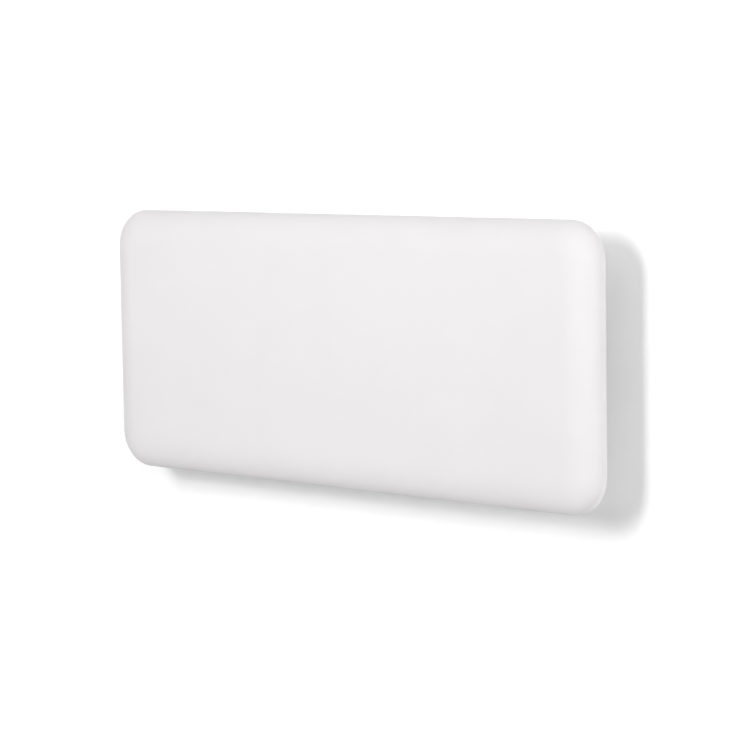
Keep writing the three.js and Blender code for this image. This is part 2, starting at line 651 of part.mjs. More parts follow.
// The disc-shaped thermal cut-out with a tab at each side.
function thermalCutout() {
  const profile = [
    at(0, 0), at(CUTOUT.radius, 0), at(CUTOUT.radius, CUTOUT.capHeight),
    at(CUTOUT.capRadius, CUTOUT.capHeight), at(CUTOUT.capRadius, CUTOUT.height), at(0, CUTOUT.height),
  ];
  const body = solidOf(turned(profile, 'y'));
  const tabs = plate(2 * (CUTOUT.capRadius + CUTOUT.tab), CUTOUT.tabWidth);
  const tab = solidOf(centredPrism(tabs, CUTOUT.tabSheet, 'y'));
  const tabY = -(CUTOUT.capHeight + CUTOUT.height) / 2;
  const whole = body.add(tab.translate([0, tabY, 0]));
  return piece('thermal_cutout', whole, 'blackPlastic', [cutoutX, cutoutSeat - FIT.gap, CUTOUT.up]);
}

// The wall between the heating chamber and the controls.
function chamberWall() {
  const foot = -FIT.gap - CHAMBER_WALL.sheet / 2;
  const line = [at(-CHAMBER_WALL.foot, foot), at(0, foot), at(0, -CHAMBER_WALL.depth)];
  const section = foldedSheet(line, CHAMBER_WALL.sheet, CHAMBER_WALL.bend);
  const folded = solidOf(centredPrism(section, chamberWallHeight, 'z'));
  const hole = solidOf(centredPrism(disc(GROMMET.hole + FIT.gap), 2 * FIT.overrun, 'x'));
  const wall = folded.subtract(hole.translate([0, wallMiddle - caseFloor, grommetZ]));
  return piece('chamber_wall', wall, 'zincSteel', [chamberX, caseFloor, 0]);
}

// The bush that lines the chamber wall's hole.
function leadGrommet() {
  const half = CHAMBER_WALL.sheet / 2 + FIT.gap;
  const end = half + GROMMET.lip;
  const profile = [
    at(GROMMET.bore, -end), at(GROMMET.flange, -end), at(GROMMET.flange, -half),
    at(GROMMET.hole, -half), at(GROMMET.hole, half), at(GROMMET.flange, half),
    at(GROMMET.flange, end), at(GROMMET.bore, end), at(GROMMET.bore, -end),
  ];
  const place = [chamberX, wallMiddle, grommetZ];
  return piece('lead_grommet', turned(profile, 'x'), 'rubber', place);
}

// Planes of the control pack, measured in X from the outer face of the case's right wall.
const plateBack = FIT.gap;
const plateFront = plateBack + FASCIA.plate;
const boardFace = -BOARD.fromWall;
const housingEnd = -CASE.sheet - FIT.gap;
const trayDepth = boxDepth - 2 * (CASE.backBend - CASE.sheet + FIT.gap);
const housingBase = housingEnd - HOUSING.depth;

// The moulded tray, open towards the fascia, with posts for the board.
function controlHousing() {
  const height = HOUSING.top + HOUSING.bottom;
  const middle = (HOUSING.top - HOUSING.bottom) / 2;
  const inner = { width: trayDepth - 2 * HOUSING.wall, height: height - 2 * HOUSING.wall };
  const outside = solidOf(prism(plate(trayDepth, height, HOUSING.corner), HOUSING.depth, 'x'));
  const hollow = plate(inner.width, inner.height, HOUSING.corner - HOUSING.wall);
  const inside = solidOf(prism(hollow, HOUSING.depth, 'x'));
  const tray = outside.subtract(inside.translate([HOUSING.wall, 0, 0]));
  const postLength = boardFace - BOARD.sheet - FIT.gap - housingBase;
  const post = solidOf(prism(disc(HOUSING.post, STEPS.small), postLength, 'x'));
  const across = inner.width / 2 - HOUSING.post;
  const posts = [BOARD.top - HOUSING.post, BOARD.bottom + HOUSING.post].flatMap((z) => (
    [-across, across].map((y) => post.translate([0, y, z - middle]))
  ));
  const hole = solidOf(centredPrism(disc(HOUSING.leadHole), 2 * FIT.overrun, 'x'));
  const exit = solidOf(centredPrism(disc(HOUSING.leadHole), 2 * FIT.overrun, 'z'));
  const body = joined([tray, ...posts])
    .subtract(hole.translate([0, 0, GROMMET.up - middle]))
    .subtract(exit.translate([HOUSING.depth / 2, 0, -height / 2]));
  const boxMiddle = (caseFloor + flangeFront) / 2 - wallMiddle;
  return piece('control_housing', body, 'greyPlastic', [housingBase, boxMiddle, middle]);
}

const rockerOpening = {
  width: ROCKER.width + 2 * (FIT.gap + ROCKER_FRAME.wall + FIT.gap),
  height: 2 * (ROCKER.reach + FIT.gap + ROCKER_FRAME.wall + FIT.gap),
};

// The fascia plate outside the case's wall, with a rim that fits the wall's opening.
function controlFascia() {
  const rimOuter = {
    width: fasciaOpening.width - 2 * FASCIA.clearance,
    height: fasciaOpening.height - 2 * FASCIA.clearance,
  };
  const face = solidOf(prism(plate(fasciaWidth, fasciaHeight, FASCIA.corner), FASCIA.plate, 'x'));
  const rim = solidOf(prism(plate(rimOuter.width, rimOuter.height, FASCIA.inset), FASCIA.rimDepth, 'x'));
  const within = plate(rimOuter.width - 2 * FASCIA.rim, rimOuter.height - 2 * FASCIA.rim);
  const hollow = solidOf(prism(within, FASCIA.rimDepth + FIT.gap, 'x'));
  const skirt = rim
    .translate([-FASCIA.rimDepth, 0, 0])
    .subtract(hollow.translate([-FASCIA.rimDepth - FIT.gap, 0, 0]));
  const pane = plate(windowWidth, WINDOW.height, WINDOW.corner);
  const window = solidOf(centredPrism(pane, 2 * FIT.overrun, 'x'));
  const button = solidOf(centredPrism(disc(BUTTON.hole), 2 * FIT.overrun, 'x'));
  const rocker = solidOf(centredPrism(
    plate(rockerOpening.width, rockerOpening.height, ROCKER_FRAME.corner), 2 * FIT.overrun, 'x',
  ));
  const rimmed = face.add(skirt.translate([FIT.gap / 2, 0, 0]));
  const body = cut(rimmed, [
    window.translate([0, 0, WINDOW.up - fasciaCentre]),
    ...buttonHeights().map((z) => button.translate([0, 0, z - fasciaCentre])),
    rocker.translate([0, 0, ROCKER.centre - fasciaCentre]),
  ]);
  return piece('control_fascia', body, 'whitePlastic', [plateBack, 0, fasciaCentre]);
}

const BUTTON_NAMES = ['button_plus', 'button_minus', 'button_mode', 'button_power'];

function buttonHeights() {
  return BUTTON_NAMES.map((_, i) => BUTTON.top - i * BUTTON.pitch);
}

// The clear pane in the fascia, with a flange behind it.
function displayWindow() {
  const pane = plate(windowWidth - 2 * FIT.gap, WINDOW.height - 2 * FIT.gap, WINDOW.corner);
  const wider = 2 * WINDOW.flange;
  const flange = plate(windowWidth + wider, WINDOW.height + wider, WINDOW.corner);
  const front = solidOf(prism(pane, FIT.gap + WINDOW.pane + WINDOW.flangeSheet, 'x'));
  const behind = solidOf(prism(flange, WINDOW.flangeSheet, 'x'));
  const start = plateBack - FIT.gap - WINDOW.flangeSheet;
  return piece('display_window', front.add(behind), 'smokedWindow', [start, 0, WINDOW.up]);
}

// A push button: a dished cap through the fascia, a flange behind it and a tail over its switch.
function pushButton(name, z) {
  const flangeFront = plateBack - FIT.gap;
  const tip = plateFront + BUTTON.proud;
  const tail = boardFace + SWITCH.height + FIT.gap + BUTTON.travel;
  const profile = [
    at(0, tail), at(BUTTON.tail, tail), at(BUTTON.tail, flangeFront - BUTTON.flangeSheet),
    at(BUTTON.flange, flangeFront - BUTTON.flangeSheet), at(BUTTON.flange, flangeFront),
    at(BUTTON.radius, flangeFront), at(BUTTON.radius, tip - BUTTON.dish),
    at(BUTTON.radius - BUTTON.dish, tip), at(BUTTON.radius / 2, tip - BUTTON.dish * BUTTON.dishShare),
    at(0, tip - BUTTON.dish),
  ];
  return piece(name, turned(profile, 'x'), 'whitePlastic', [0, 0, z]);
}

// The circuit board with a small switch under each button.
function controlBoard() {
  const height = BOARD.top - BOARD.bottom;
  const middle = (BOARD.top + BOARD.bottom) / 2;
  const width = trayDepth - 2 * (HOUSING.wall + BOARD.margin);
  const sheet = solidOf(prism(plate(width, height, BOARD.corner), BOARD.sheet, 'x'));
  const key = solidOf(prism(plate(SWITCH.size, SWITCH.size), BOARD.sheet / 2 + SWITCH.height, 'x'));
  const keys = buttonHeights().map((z) => key.translate([BOARD.sheet / 2, 0, z - middle]));
  return piece('control_board', joined([sheet, ...keys]), 'board', [boardFace - BOARD.sheet, 0, middle]);
}

const boardBack = boardFace - BOARD.sheet - FIT.gap;

function powerRelay() {
  const body = prism(plate(RELAY.width, RELAY.length, RELAY.corner), RELAY.height, 'x');
  return piece('power_relay', body, 'blackPlastic', [boardBack - RELAY.height, 0, RELAY.up]);
}

// A round capacitor lying on the board.
function capacitor() {
  const edge = CAPACITOR.radius - CAPACITOR.stand;
  const profile = [
    at(0, 0), at(edge, 0), at(CAPACITOR.radius, CAPACITOR.stand),
    at(CAPACITOR.radius, CAPACITOR.length - CAPACITOR.stand),
    at(edge, CAPACITOR.length), at(0, CAPACITOR.length),
  ];
  const place = [boardBack - CAPACITOR.radius, 0, CAPACITOR.up - CAPACITOR.length / 2];
  return piece('capacitor', turned(profile, 'z'), 'blackPlastic', place);
}

// The terminal block, with a row of lead holes in its lower face.
function terminalBlock() {
  const body = solidOf(prism(plate(BLOCK.width, BLOCK.length, BOARD.corner), BLOCK.height, 'x'));
  const hole = solidOf(centredPrism(disc(BLOCK.hole, STEPS.small), 2 * BLOCK.holeDepth, 'x'));
  const holes = Array.from({ length: BLOCK.ways }, (_, i) => (
    hole.translate([0, 0, (i - (BLOCK.ways - 1) / 2) * BLOCK.pitch])
  ));
  const place = [boardBack - BLOCK.height, 0, BLOCK.up];
  return piece('terminal_block', cut(body, holes), 'greyPlastic', place);
}

// The frame of the mains rocker: a rim outside the fascia and a closed switch body behind it.
function rockerFrame() {
  const outer = {
    width: rockerOpening.width - 2 * FIT.gap, height: rockerOpening.height - 2 * FIT.gap,
  };
  const well = {
    width: outer.width - 2 * ROCKER_FRAME.wall,
    height: outer.height - 2 * ROCKER_FRAME.wall,
  };
  const overlap = 2 * ROCKER_FRAME.rim;
  const rim = plate(rockerOpening.width + overlap, rockerOpening.height + overlap, ROCKER_FRAME.corner);
  const rimBody = solidOf(prism(rim, ROCKER_FRAME.rimSheet, 'x'));
  const through = ROCKER_FRAME.depth + ROCKER_FRAME.rimSheet;
  const cup = solidOf(prism(plate(outer.width, outer.height), through, 'x'));
  const hollow = solidOf(prism(plate(well.width, well.height), ROCKER_FRAME.depth + FIT.overrun, 'x'));
  const axleHole = solidOf(centredPrism(disc(ROCKER.axle + FIT.gap, STEPS.small), 2 * ROCKER.width, 'y'));
  const body = rimBody
    .add(cup.translate([-ROCKER_FRAME.depth, 0, 0]))
    .subtract(hollow.translate([ROCKER_FRAME.floor - ROCKER_FRAME.depth, 0, 0]))
    .subtract(axleHole.translate([ROCKER_FRAME.rimSheet - ROCKER.sink, 0, 0]));
  return piece('rocker_frame', body, 'blackPlastic', [plateFront + FIT.gap, 0, ROCKER.centre]);
}

// The mains rocker, tipped to its rest position about its axle.
function mainsRocker() {
  const lift = Math.asin(ROCKER.edge / ROCKER.reach);
  const end = (sign) => Array.from({ length: STEPS.slotEnd + 1 }, (_, i) => {
    const angle = lift * (1 - 2 * i / STEPS.slotEnd) * sign;
    return at(ROCKER.reach * Math.sin(angle), sign * ROCKER.reach * Math.cos(angle));
  });
  const outline = new THREE.Shape([at(ROCKER.valley, 0), ...end(1), ...end(-1)]);
  const body = solidOf(centredPrism(new THREE.Shape(outline.getPoints()), ROCKER.width, 'y'));
  const axleLength = ROCKER.width + 2 * ROCKER.axleReach;
  const axle = solidOf(centredPrism(disc(ROCKER.axle, STEPS.small), axleLength, 'y'));
  const shape = geometryOf(body.add(axle)).rotateY(ROCKER_TILT);
  const pivot = plateFront + FIT.gap + ROCKER_FRAME.rimSheet - ROCKER.sink;
  return piece('mains_rocker', shape, 'blackPlastic', [pivot, 0, ROCKER.centre]);
}

// The control pack, in a frame whose origin lies on the case's right wall.
function controlGroup() {
  const heights = buttonHeights();
  return groupOf([
    controlHousing(),
    controlFascia(),
    displayWindow(),
    ...BUTTON_NAMES.map((name, i) => pushButton(name, heights[i])),
    controlBoard(),
    powerRelay(),
    capacitor(),
    terminalBlock(),
    rockerFrame(),
    mainsRocker(),
  ], [caseSide, wallMiddle, packZ]);
}

// Cable gland: a flange under the bottom wall, a tapered nose and a neck through the wall.
function cableGland() {
  const profile = [
    at(GLAND.bore, -GLAND.flangeSheet - GLAND.nose),
    at(GLAND.noseRadius, -GLAND.flangeSheet - GLAND.nose),
    at(GLAND.neck, -GLAND.flangeSheet), at(GLAND.flange, -GLAND.flangeSheet), at(GLAND.flange, 0),
    at(GLAND.neck, 0), at(GLAND.neck, GLAND.inside), at(GLAND.bore, GLAND.inside),
    at(GLAND.bore, -GLAND.flangeSheet - GLAND.nose),
  ];
  const place = [glandX, wallMiddle, -caseTop - FIT.gap];
  return piece('cable_gland', turned(profile, 'z'), 'blackPlastic', place);
}

function glandNut() {
  const ring = solidOf(prism(disc(GLAND_NUT.radius, STEPS.hex), GLAND_NUT.height, 'z'));
  const bore = solidOf(centredPrism(disc(GLAND.neck + FIT.gap), 2 * FIT.overrun + GLAND_NUT.height, 'z'));
  const seat = -caseTop + CASE.sheet + FIT.gap;
  return piece('gland_nut', ring.subtract(bore), 'blackPlastic', [glandX, wallMiddle, seat]);
}

// Earth stud with its nut and washer on the case's back sheet.
function earthStud() {
  const stud = solidOf(prism(disc(EARTH.stud, STEPS.small), EARTH.length, 'y'));
  const washer = solidOf(prism(disc(EARTH.washer, STEPS.small), EARTH.washerSheet, 'y'));
  const nut = solidOf(prism(disc(EARTH.nut, STEPS.hex), EARTH.washerSheet + EARTH.nutHeight, 'y'));
  const place = [earthX, caseFloor - FIT.gap, -EARTH.drop];
  return piece('earth_stud', joined([stud, washer, nut]), 'brass', place);
}

// The air sensor's bead and the clip that holds it over the bottom wall's slots.
function airSensor() {
  const bead = SENSOR.radius / 2;
  const profile = [
    at(0, -SENSOR.length / 2), at(bead, -SENSOR.length / 2), at(SENSOR.radius, bead - SENSOR.length / 2),
    at(SENSOR.radius, SENSOR.length / 2 - bead), at(bead, SENSOR.length / 2),
    at(0, SENSOR.length / 2),
  ];
  const place = [sensorX, wallMiddle, -caseTop + CASE.sheet + FIT.gap + SENSOR.stand];
  return piece('air_sensor', turned(profile, 'x', STEPS.small), 'blackPlastic', place);
}

function sensorClip() {
  const ring = SENSOR.radius + FIT.gap;
  const collar = solidOf(centredPrism(disc(ring + SENSOR.clipWall), SENSOR.clipLength, 'x'));
  const stem = solidOf(centredPrism(plate(2 * SENSOR.clipWall, SENSOR.stand), SENSOR.clipLength, 'x'));
  const foot = solidOf(centredPrism(plate(2 * SENSOR.clipFoot, SENSOR.clipWall), SENSOR.clipLength, 'x'));
  const bore = solidOf(centredPrism(disc(ring), 2 * SENSOR.length, 'x'));
  const mouth = solidOf(centredPrism(plate(SENSOR.radius, 2 * SENSOR.stand), 2 * SENSOR.length, 'x'));
  const clip = joined([
    collar,
    stem.translate([0, 0, -SENSOR.stand / 2]),
    foot.translate([0, 0, SENSOR.clipWall / 2 - SENSOR.stand]),
  ]);
  const open = clip.subtract(bore).subtract(mouth.translate([0, 0, SENSOR.stand]));
  const place = [sensorX, wallMiddle, -caseTop + CASE.sheet + FIT.gap + SENSOR.stand];
  return piece('sensor_clip', open, 'greyPlastic', place);
}

// A lead along a smooth route that leaves its start and reaches its end square to what they meet.
function leadAlong(name, { start, leaving, middle, arriving, end }, radius, finish) {
  const from = new THREE.Vector3(...start);
  const to = new THREE.Vector3(...end);
  const points = [
    from,
    from.clone().addScaledVector(leaving, ROUTE.stub),
    ...middle.map((point) => new THREE.Vector3(...point)),
    to.clone().addScaledVector(arriving, -ROUTE.stub),
    to,
  ];
  const route = new THREE.CatmullRomCurve3(points, false, 'centripetal');
  const steps = STEPS.lead * (points.length - 1);
  const section = disc(radius, STEPS.leadSides);
  const shape = new THREE.ExtrudeGeometry(section, { steps, bevelEnabled: false, extrudePath: route });
  return piece(name, shape, finish);
}

// Ends and bends of the leads inside the case.
const boardX = caseSide + boardBack;
const elementY = caseFloor - ELEMENT.fromBack;
const tabReach = TERMINAL.length / 2 + TERMINAL.tabLength;
const terminalReach = sheathLength / 2 + 2 * FIT.gap + BUSH.length + tabReach;
const cutoutTabY = cutoutSeat - FIT.gap - (CUTOUT.capHeight + CUTOUT.height) / 2;
const cutoutTabReach = CUTOUT.capRadius + CUTOUT.tab + FIT.gap;
const exitX = caseSide + housingBase + HOUSING.depth / 2;
const trayFoot = packZ - HOUSING.bottom;
const trayMiddle = packZ - HOUSING.bottom / 2;
const blockZ = packZ + BLOCK.up;
const boardFoot = packZ + BOARD.bottom;
const WAY = {
  left: AXIS.x.clone().negate(),
  right: AXIS.x,
  back: AXIS.y,
  up: AXIS.z,
};

// From the board through the chamber wall to the cut-out's right tab.
function cutoutFeedLead() {
  const z = grommetZ - LEAD.side;
  const end = cutoutX + cutoutTabReach;
  return leadAlong('lead_cutout_feed', {
    start: [boardX, wallMiddle, z],
    leaving: WAY.left,
    middle: [
      [chamberX + ROUTE.bow, wallMiddle, z],
      [chamberX - ROUTE.bow, wallMiddle, z],
      [(chamberX + end) / 2, (wallMiddle + cutoutTabY) / 2, z + ROUTE.knee],
    ],
    arriving: WAY.left,
    end: [end, cutoutTabY, CUTOUT.up],
  }, LEAD.radius, 'leadRed');
}

// From the cut-out's left tab over it and down to the element's right end.
function cutoutElementLead() {
  const start = cutoutX - cutoutTabReach;
  const end = elementX + terminalReach + FIT.gap;
  return leadAlong('lead_cutout_element', {
    start: [start, cutoutTabY, CUTOUT.up],
    leaving: WAY.left,
    middle: [
      [start - ROUTE.knee, cutoutTabY, CUTOUT.up + ROUTE.knee],
      [start, cutoutTabY, CUTOUT.up + ROUTE.loop],
      [(start + end) / 2, cutoutTabY, CUTOUT.up + ROUTE.loop],
      [end - ROUTE.bow, cutoutTabY, CUTOUT.up + ROUTE.knee],
      [end + ROUTE.knee, elementY, (CUTOUT.up - ELEMENT.drop) / 2],
      [end + ROUTE.knee, elementY, ROUTE.knee - ELEMENT.drop],
    ],
    arriving: WAY.left,
    end: [end, elementY, -ELEMENT.drop],
  }, LEAD.radius, 'leadRed');
}

// From the board over the element to its left end.
function elementReturnLead() {
  const z = grommetZ + LEAD.side;
  const end = elementX - terminalReach - FIT.gap;
  const y = wallMiddle - ROUTE.clear;
  return leadAlong('lead_element_return', {
    start: [boardX, wallMiddle, z],
    leaving: WAY.left,
    middle: [
      [chamberX + ROUTE.bow, wallMiddle, z],
      [chamberX - ROUTE.bow, wallMiddle, z],
      [chamberX - ROUTE.dip, y + ROUTE.clear / 2, z + ROUTE.dip],
      [chamberX - 2 * ROUTE.dip, y, highRoute],
      [0, y, highRoute],
      [-chamberX, y, highRoute],
      [end - ROUTE.knee, elementY, highRoute / 2],
      [end - ROUTE.knee, elementY, ROUTE.knee - ELEMENT.drop],
    ],
    arriving: WAY.right,
    end: [end, elementY, -ELEMENT.drop],
  }, LEAD.radius, 'leadBlue');
}

// From the terminal block out of the tray to the earth stud.
function earthLead() {
  const start = boardX - BLOCK.height - FIT.gap;
  const x = exitX + ROUTE.apart;
  return leadAlong('lead_earth', {
    start: [start, wallMiddle, blockZ],
    leaving: WAY.left,
    middle: [
      [start - ROUTE.clear / 2, wallMiddle - ROUTE.apart, blockZ - ROUTE.bow],
      [start, wallMiddle - ROUTE.apart, trayMiddle],
      [x, wallMiddle - ROUTE.apart, trayFoot],
      [x, wallMiddle - ROUTE.clear, (trayFoot - EARTH.drop) / 2],
    ],
    arriving: WAY.back,
    end: [earthX, caseFloor - 2 * FIT.gap - EARTH.length, -EARTH.drop],
  }, LEAD.radius, 'leadGreen');
}

// From the air sensor behind the gland and up to the board's lower edge.
function sensorLead() {
  const z = -caseTop + CASE.sheet + FIT.gap + SENSOR.stand;
  const start = sensorX + SENSOR.length / 2 + FIT.gap;
  const behind = (caseFloor + wallMiddle + GLAND_NUT.radius) / 2;
  const x = exitX - ROUTE.apart;
  return leadAlong('lead_sensor', {
    start: [start, wallMiddle, z],
    leaving: WAY.right,
    middle: [
      [glandX, behind, z],
      [glandX + ROUTE.clear, (behind + wallMiddle) / 2, (z + trayFoot) / 2],
      [glandX + ROUTE.clear, wallMiddle + ROUTE.apart, trayFoot - ROUTE.bow / 2],
      [x, wallMiddle + ROUTE.apart, trayFoot],
      [x, wallMiddle + ROUTE.apart, trayMiddle],
      [boardX + BOARD.sheet / 2, wallMiddle, boardFoot - ROUTE.bow],
    ],
    arriving: WAY.up,
    end: [boardX + BOARD.sheet / 2, wallMiddle, boardFoot - FIT.gap],
  }, LEAD.sensorRadius, 'leadGrey');
}

// Heights and depths of the hook, measured from the wall and from the bracket's middle.
const tongueTop = -hookDrop - FIT.gap - LINER.top - FIT.gap;
const lipInner = caseFloor - HOOK.gapDepth;
const hookEnd = lipInner - HOOK.lip;

// The side outline of an upright, in Y and Z: a straight web whose foot carries the hook.
function uprightOutline() {
  const web = -bracketWeb;
  const lipTop = tongueTop + HOOK.lipHeight;
  const foot = tongueTop - HOOK.tongue;
  return new THREE.Shape([
    at(0, bracketTop),
    at(0, foot - BRACKET.chamfer),
    at(-BRACKET.chamfer, foot - BRACKET.chamfer),
    at(-2 * BRACKET.chamfer, foot),
    at(hookEnd + HOOK.lip, foot),
    at(hookEnd, foot + HOOK.lip),
    at(hookEnd, lipTop - 2 * HOOK.tip),
    at(hookEnd + HOOK.tip, lipTop),
    at(lipInner - HOOK.tip / 2, lipTop),
    at(lipInner, lipTop - HOOK.tip),
    at(lipInner, tongueTop),
    at(web, tongueTop),
    at(web, bracketTop - BRACKET.chamfer),
    at(web + BRACKET.chamfer, bracketTop),
  ]);
}

// One folded upright: the flange on the wall, the web with windows and the hook.
function bracketUpright(name, side) {
  const half = BRACKET.sheet / 2;
  const line = [at(-side * BRACKET.flange, -half), at(0, -half), at(0, hookEnd - FIT.overrun)];
  const height = 2 * (bracketTop - tongueTop);
  const section = foldedSheet(line, BRACKET.sheet, BRACKET.bend);
  const folded = solidOf(centredPrism(section, height, 'z'));
  const outline = solidOf(centredPrism(uprightOutline(), 2 * (BRACKET.flange + FIT.overrun), 'x'));
  const window = solidOf(centredPrism(
    slot(BRACKET.windowWidth, BRACKET.windowLength), 2 * FIT.overrun, 'x',
  ));
  const opening = slot(BRACKET.slotWidth, BRACKET.slotLength);
  const wallSlot = solidOf(centredPrism(opening, 2 * FIT.overrun, 'y'));
  const windowY = -(bracketWeb + BRACKET.sheet) / 2;
  const upright = cut(folded.intersect(outline), [-1, 1].flatMap((sign) => [
    window.translate([0, windowY, sign * BRACKET.windowRise]),
    wallSlot.translate([-side * BRACKET.flange / 2, 0, sign * BRACKET.slotRise]),
  ]));
  return piece(name, upright, 'zincSteel', [side * BRACKET.spacing / 2, 0, 0]);
}

// The crossbar, with a step at each end that laps the uprights' flanges, and its rivets.
function bracketCrossbar() {
  const half = BRACKET.sheet / 2;
  const step = BRACKET.sheet + FIT.gap;
  const flangeEdge = BRACKET.spacing / 2 - BRACKET.flange;
  const end = [
    at(flangeEdge + CROSSBAR.overlap, -half - step),
    at(flangeEdge - FIT.gap - BRACKET.sheet, -half - step),
    at(flangeEdge - CROSSBAR.joggle - BRACKET.sheet, -half),
  ];
  const mirrored = end.map((point) => at(-point.x, point.y)).reverse();
  const section = foldedSheet([...end, ...mirrored], BRACKET.sheet, half);
  const bar = solidOf(centredPrism(section, CROSSBAR.height, 'z'));
  const opening = slot(CROSSBAR.slotLength, CROSSBAR.slotWidth);
  const wallSlot = solidOf(centredPrism(opening, 2 * FIT.overrun, 'y'));
  const rivet = solidOf(prism(disc(CROSSBAR.rivet, STEPS.small), half + CROSSBAR.rivetHeight, 'y'));
  const rivetX = flangeEdge + CROSSBAR.overlap / 2;
  const rivets = [-1, 1].flatMap((side) => [-1, 1].map((sign) => (
    rivet.translate([side * rivetX, -half - step, sign * CROSSBAR.rivetRise])
  )));
  const slots = [-1, 1].map((side) => wallSlot.translate([side * CROSSBAR.slotAcross, 0, 0]));
  return piece('bracket_crossbar', cut(joined([bar, ...rivets]), slots), 'zincSteel');
}

// The plastic saddle on a hook, on which the case's sheet hangs.
function hookLiner(name, side) {
  const inner = BRACKET.sheet + 2 * FIT.gap;
  const length = -bracketWeb - lipInner - 2 * FIT.gap;
  const outer = inner + 2 * LINER.cheek;
  const section = plate(outer, LINER.top + LINER.drop, LINER.cheek / 2);
  const block = solidOf(centredPrism(section, length, 'y'));
  const groove = solidOf(centredPrism(plate(inner, 2 * LINER.drop), 2 * length, 'y'));
  const top = (LINER.top + LINER.drop) / 2;
  const saddle = block.subtract(groove.translate([0, 0, top - LINER.top - LINER.drop]));
  const z = tongueTop + FIT.gap + LINER.top - top;
  const place = [side * BRACKET.spacing / 2, (-bracketWeb + lipInner) / 2, z];
  return piece(name, saddle, 'whitePlastic', place);
}

// A rubber buffer gripping the web's front edge, against which the case's back rests.
function bracketBuffer(name, side) {
  const inner = BRACKET.sheet + 2 * FIT.gap;
  const face = caseBack + FIT.gap;
  const back = -bracketWeb + BUFFER.grip;
  const section = plate(inner + 2 * BUFFER.wall, back - face, BUFFER.wall / 2);
  const block = solidOf(centredPrism(section, BUFFER.height, 'z'));
  const mouth = plate(inner, 2 * (BUFFER.grip + FIT.gap));
  const groove = solidOf(centredPrism(mouth, 2 * BUFFER.height, 'z'));
  const grooveY = (back - face) / 2;
  const buffer = block.subtract(groove.translate([0, grooveY, 0]));
  const place = [side * BRACKET.spacing / 2, (face + back) / 2, bufferUp];
  return piece(name, buffer, 'rubber', place);
}

// A spring catch: a strip riveted to the upright's flange, whose nose snaps into the case's slot.
function catchSpring(name, side) {
  const half = CATCH.sheet / 2;
  const rootY = -BRACKET.sheet - FIT.gap - half;
  const leafZ = catchUp - FIT.gap - half - CATCH.valley / 2;
  const sheetFront = caseFloor - FIT.gap;
  const crestY = sheetFront - CATCH.crestReach;
  const line = [
    at(rootY, leafZ - CATCH.root),
    at(rootY, leafZ),
    at(caseBack + CATCH.sheet, leafZ),
    at(sheetFront, leafZ - CATCH.valley),
    at(crestY, leafZ + CATCH.crest),
    at(crestY - CATCH.noseReach / 2, leafZ - CATCH.noseDrop),
  ];
  const strip = solidOf(centredPrism(foldedSheet(line, CATCH.sheet, CATCH.bend), CATCH.width, 'x'));
  const rivet = solidOf(prism(disc(CATCH.rivet, STEPS.small), half + CATCH.rivetHeight, 'y'));
  const whole = strip.add(rivet.translate([0, rootY, leafZ - CATCH.root * CATCH.rivetShare]));
  return piece(name, whole, 'springSteel', [side * (BRACKET.spacing / 2 - CATCH.inset), 0, 0]);
}

function wallBracket() {
  const ends = [['left', -1], ['right', 1]];
  return groupOf([
    bracketCrossbar(),
    ...ends.map(([end, side]) => bracketUpright(`bracket_upright_${end}`, side)),
    ...ends.map(([end, side]) => hookLiner(`hook_liner_${end}`, side)),
    ...ends.map(([end, side]) => bracketBuffer(`buffer_${end}`, side)),
    ...ends.map(([end, side]) => catchSpring(`catch_spring_${end}`, side)),
  ]);
}

function shellGroup() {
  return groupOf([
    frontCover(),
    rearCase(),
    ...screwPlaces().map((place, i) => coverScrew(`cover_screw_${i + 1}`, place)),
    frontHeatShield(),
    rearReflector(),
    chamberWall(),
    leadGrommet(),
    thermalCutoutStand(),
    thermalCutout(),
    cableGland(),
    glandNut(),
    earthStud(),
    sensorClip(),
    airSensor(),
  ]);
}

function leadGroup() {
  return groupOf([cutoutFeedLead(), cutoutElementLead(), elementReturnLead(), earthLead(), sensorLead()]);
}

const heater = groupOf([shellGroup(), elementGroup(), controlGroup(), leadGroup()]);
const panelHeater = groupOf([wallBracket(), heater]);

export default panelHeater;
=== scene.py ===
"""Wall-hung panel heater: its finishes, its finely made pieces, and a plain pale studio."""

import json
import logging
import math
from collections.abc import Sequence
from dataclasses import dataclass
from enum import Enum
from functools import cache
from typing import Self

import bmesh
import bpy
from mathutils import Matrix, Vector


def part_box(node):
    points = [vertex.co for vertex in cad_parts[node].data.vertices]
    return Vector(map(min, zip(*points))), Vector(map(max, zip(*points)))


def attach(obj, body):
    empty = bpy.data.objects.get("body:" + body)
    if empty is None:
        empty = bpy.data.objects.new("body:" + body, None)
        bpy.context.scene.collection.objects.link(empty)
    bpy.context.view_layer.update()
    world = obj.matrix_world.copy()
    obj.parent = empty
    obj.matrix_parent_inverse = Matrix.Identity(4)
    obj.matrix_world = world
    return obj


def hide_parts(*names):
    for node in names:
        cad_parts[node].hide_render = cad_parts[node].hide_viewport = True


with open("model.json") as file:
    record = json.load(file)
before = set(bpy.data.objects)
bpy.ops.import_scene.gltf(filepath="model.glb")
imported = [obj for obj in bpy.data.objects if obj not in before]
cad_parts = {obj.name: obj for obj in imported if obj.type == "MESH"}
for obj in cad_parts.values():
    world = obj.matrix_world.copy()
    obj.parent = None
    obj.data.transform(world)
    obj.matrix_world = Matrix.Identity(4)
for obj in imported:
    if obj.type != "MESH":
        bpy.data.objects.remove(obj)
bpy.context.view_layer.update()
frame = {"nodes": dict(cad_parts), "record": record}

LOG = logging.getLogger("panel_heater")
MM = 0.001
ORIGIN = (0, 0, 0)
# A length in metres that is too small to see.
HAIR = 1e-6
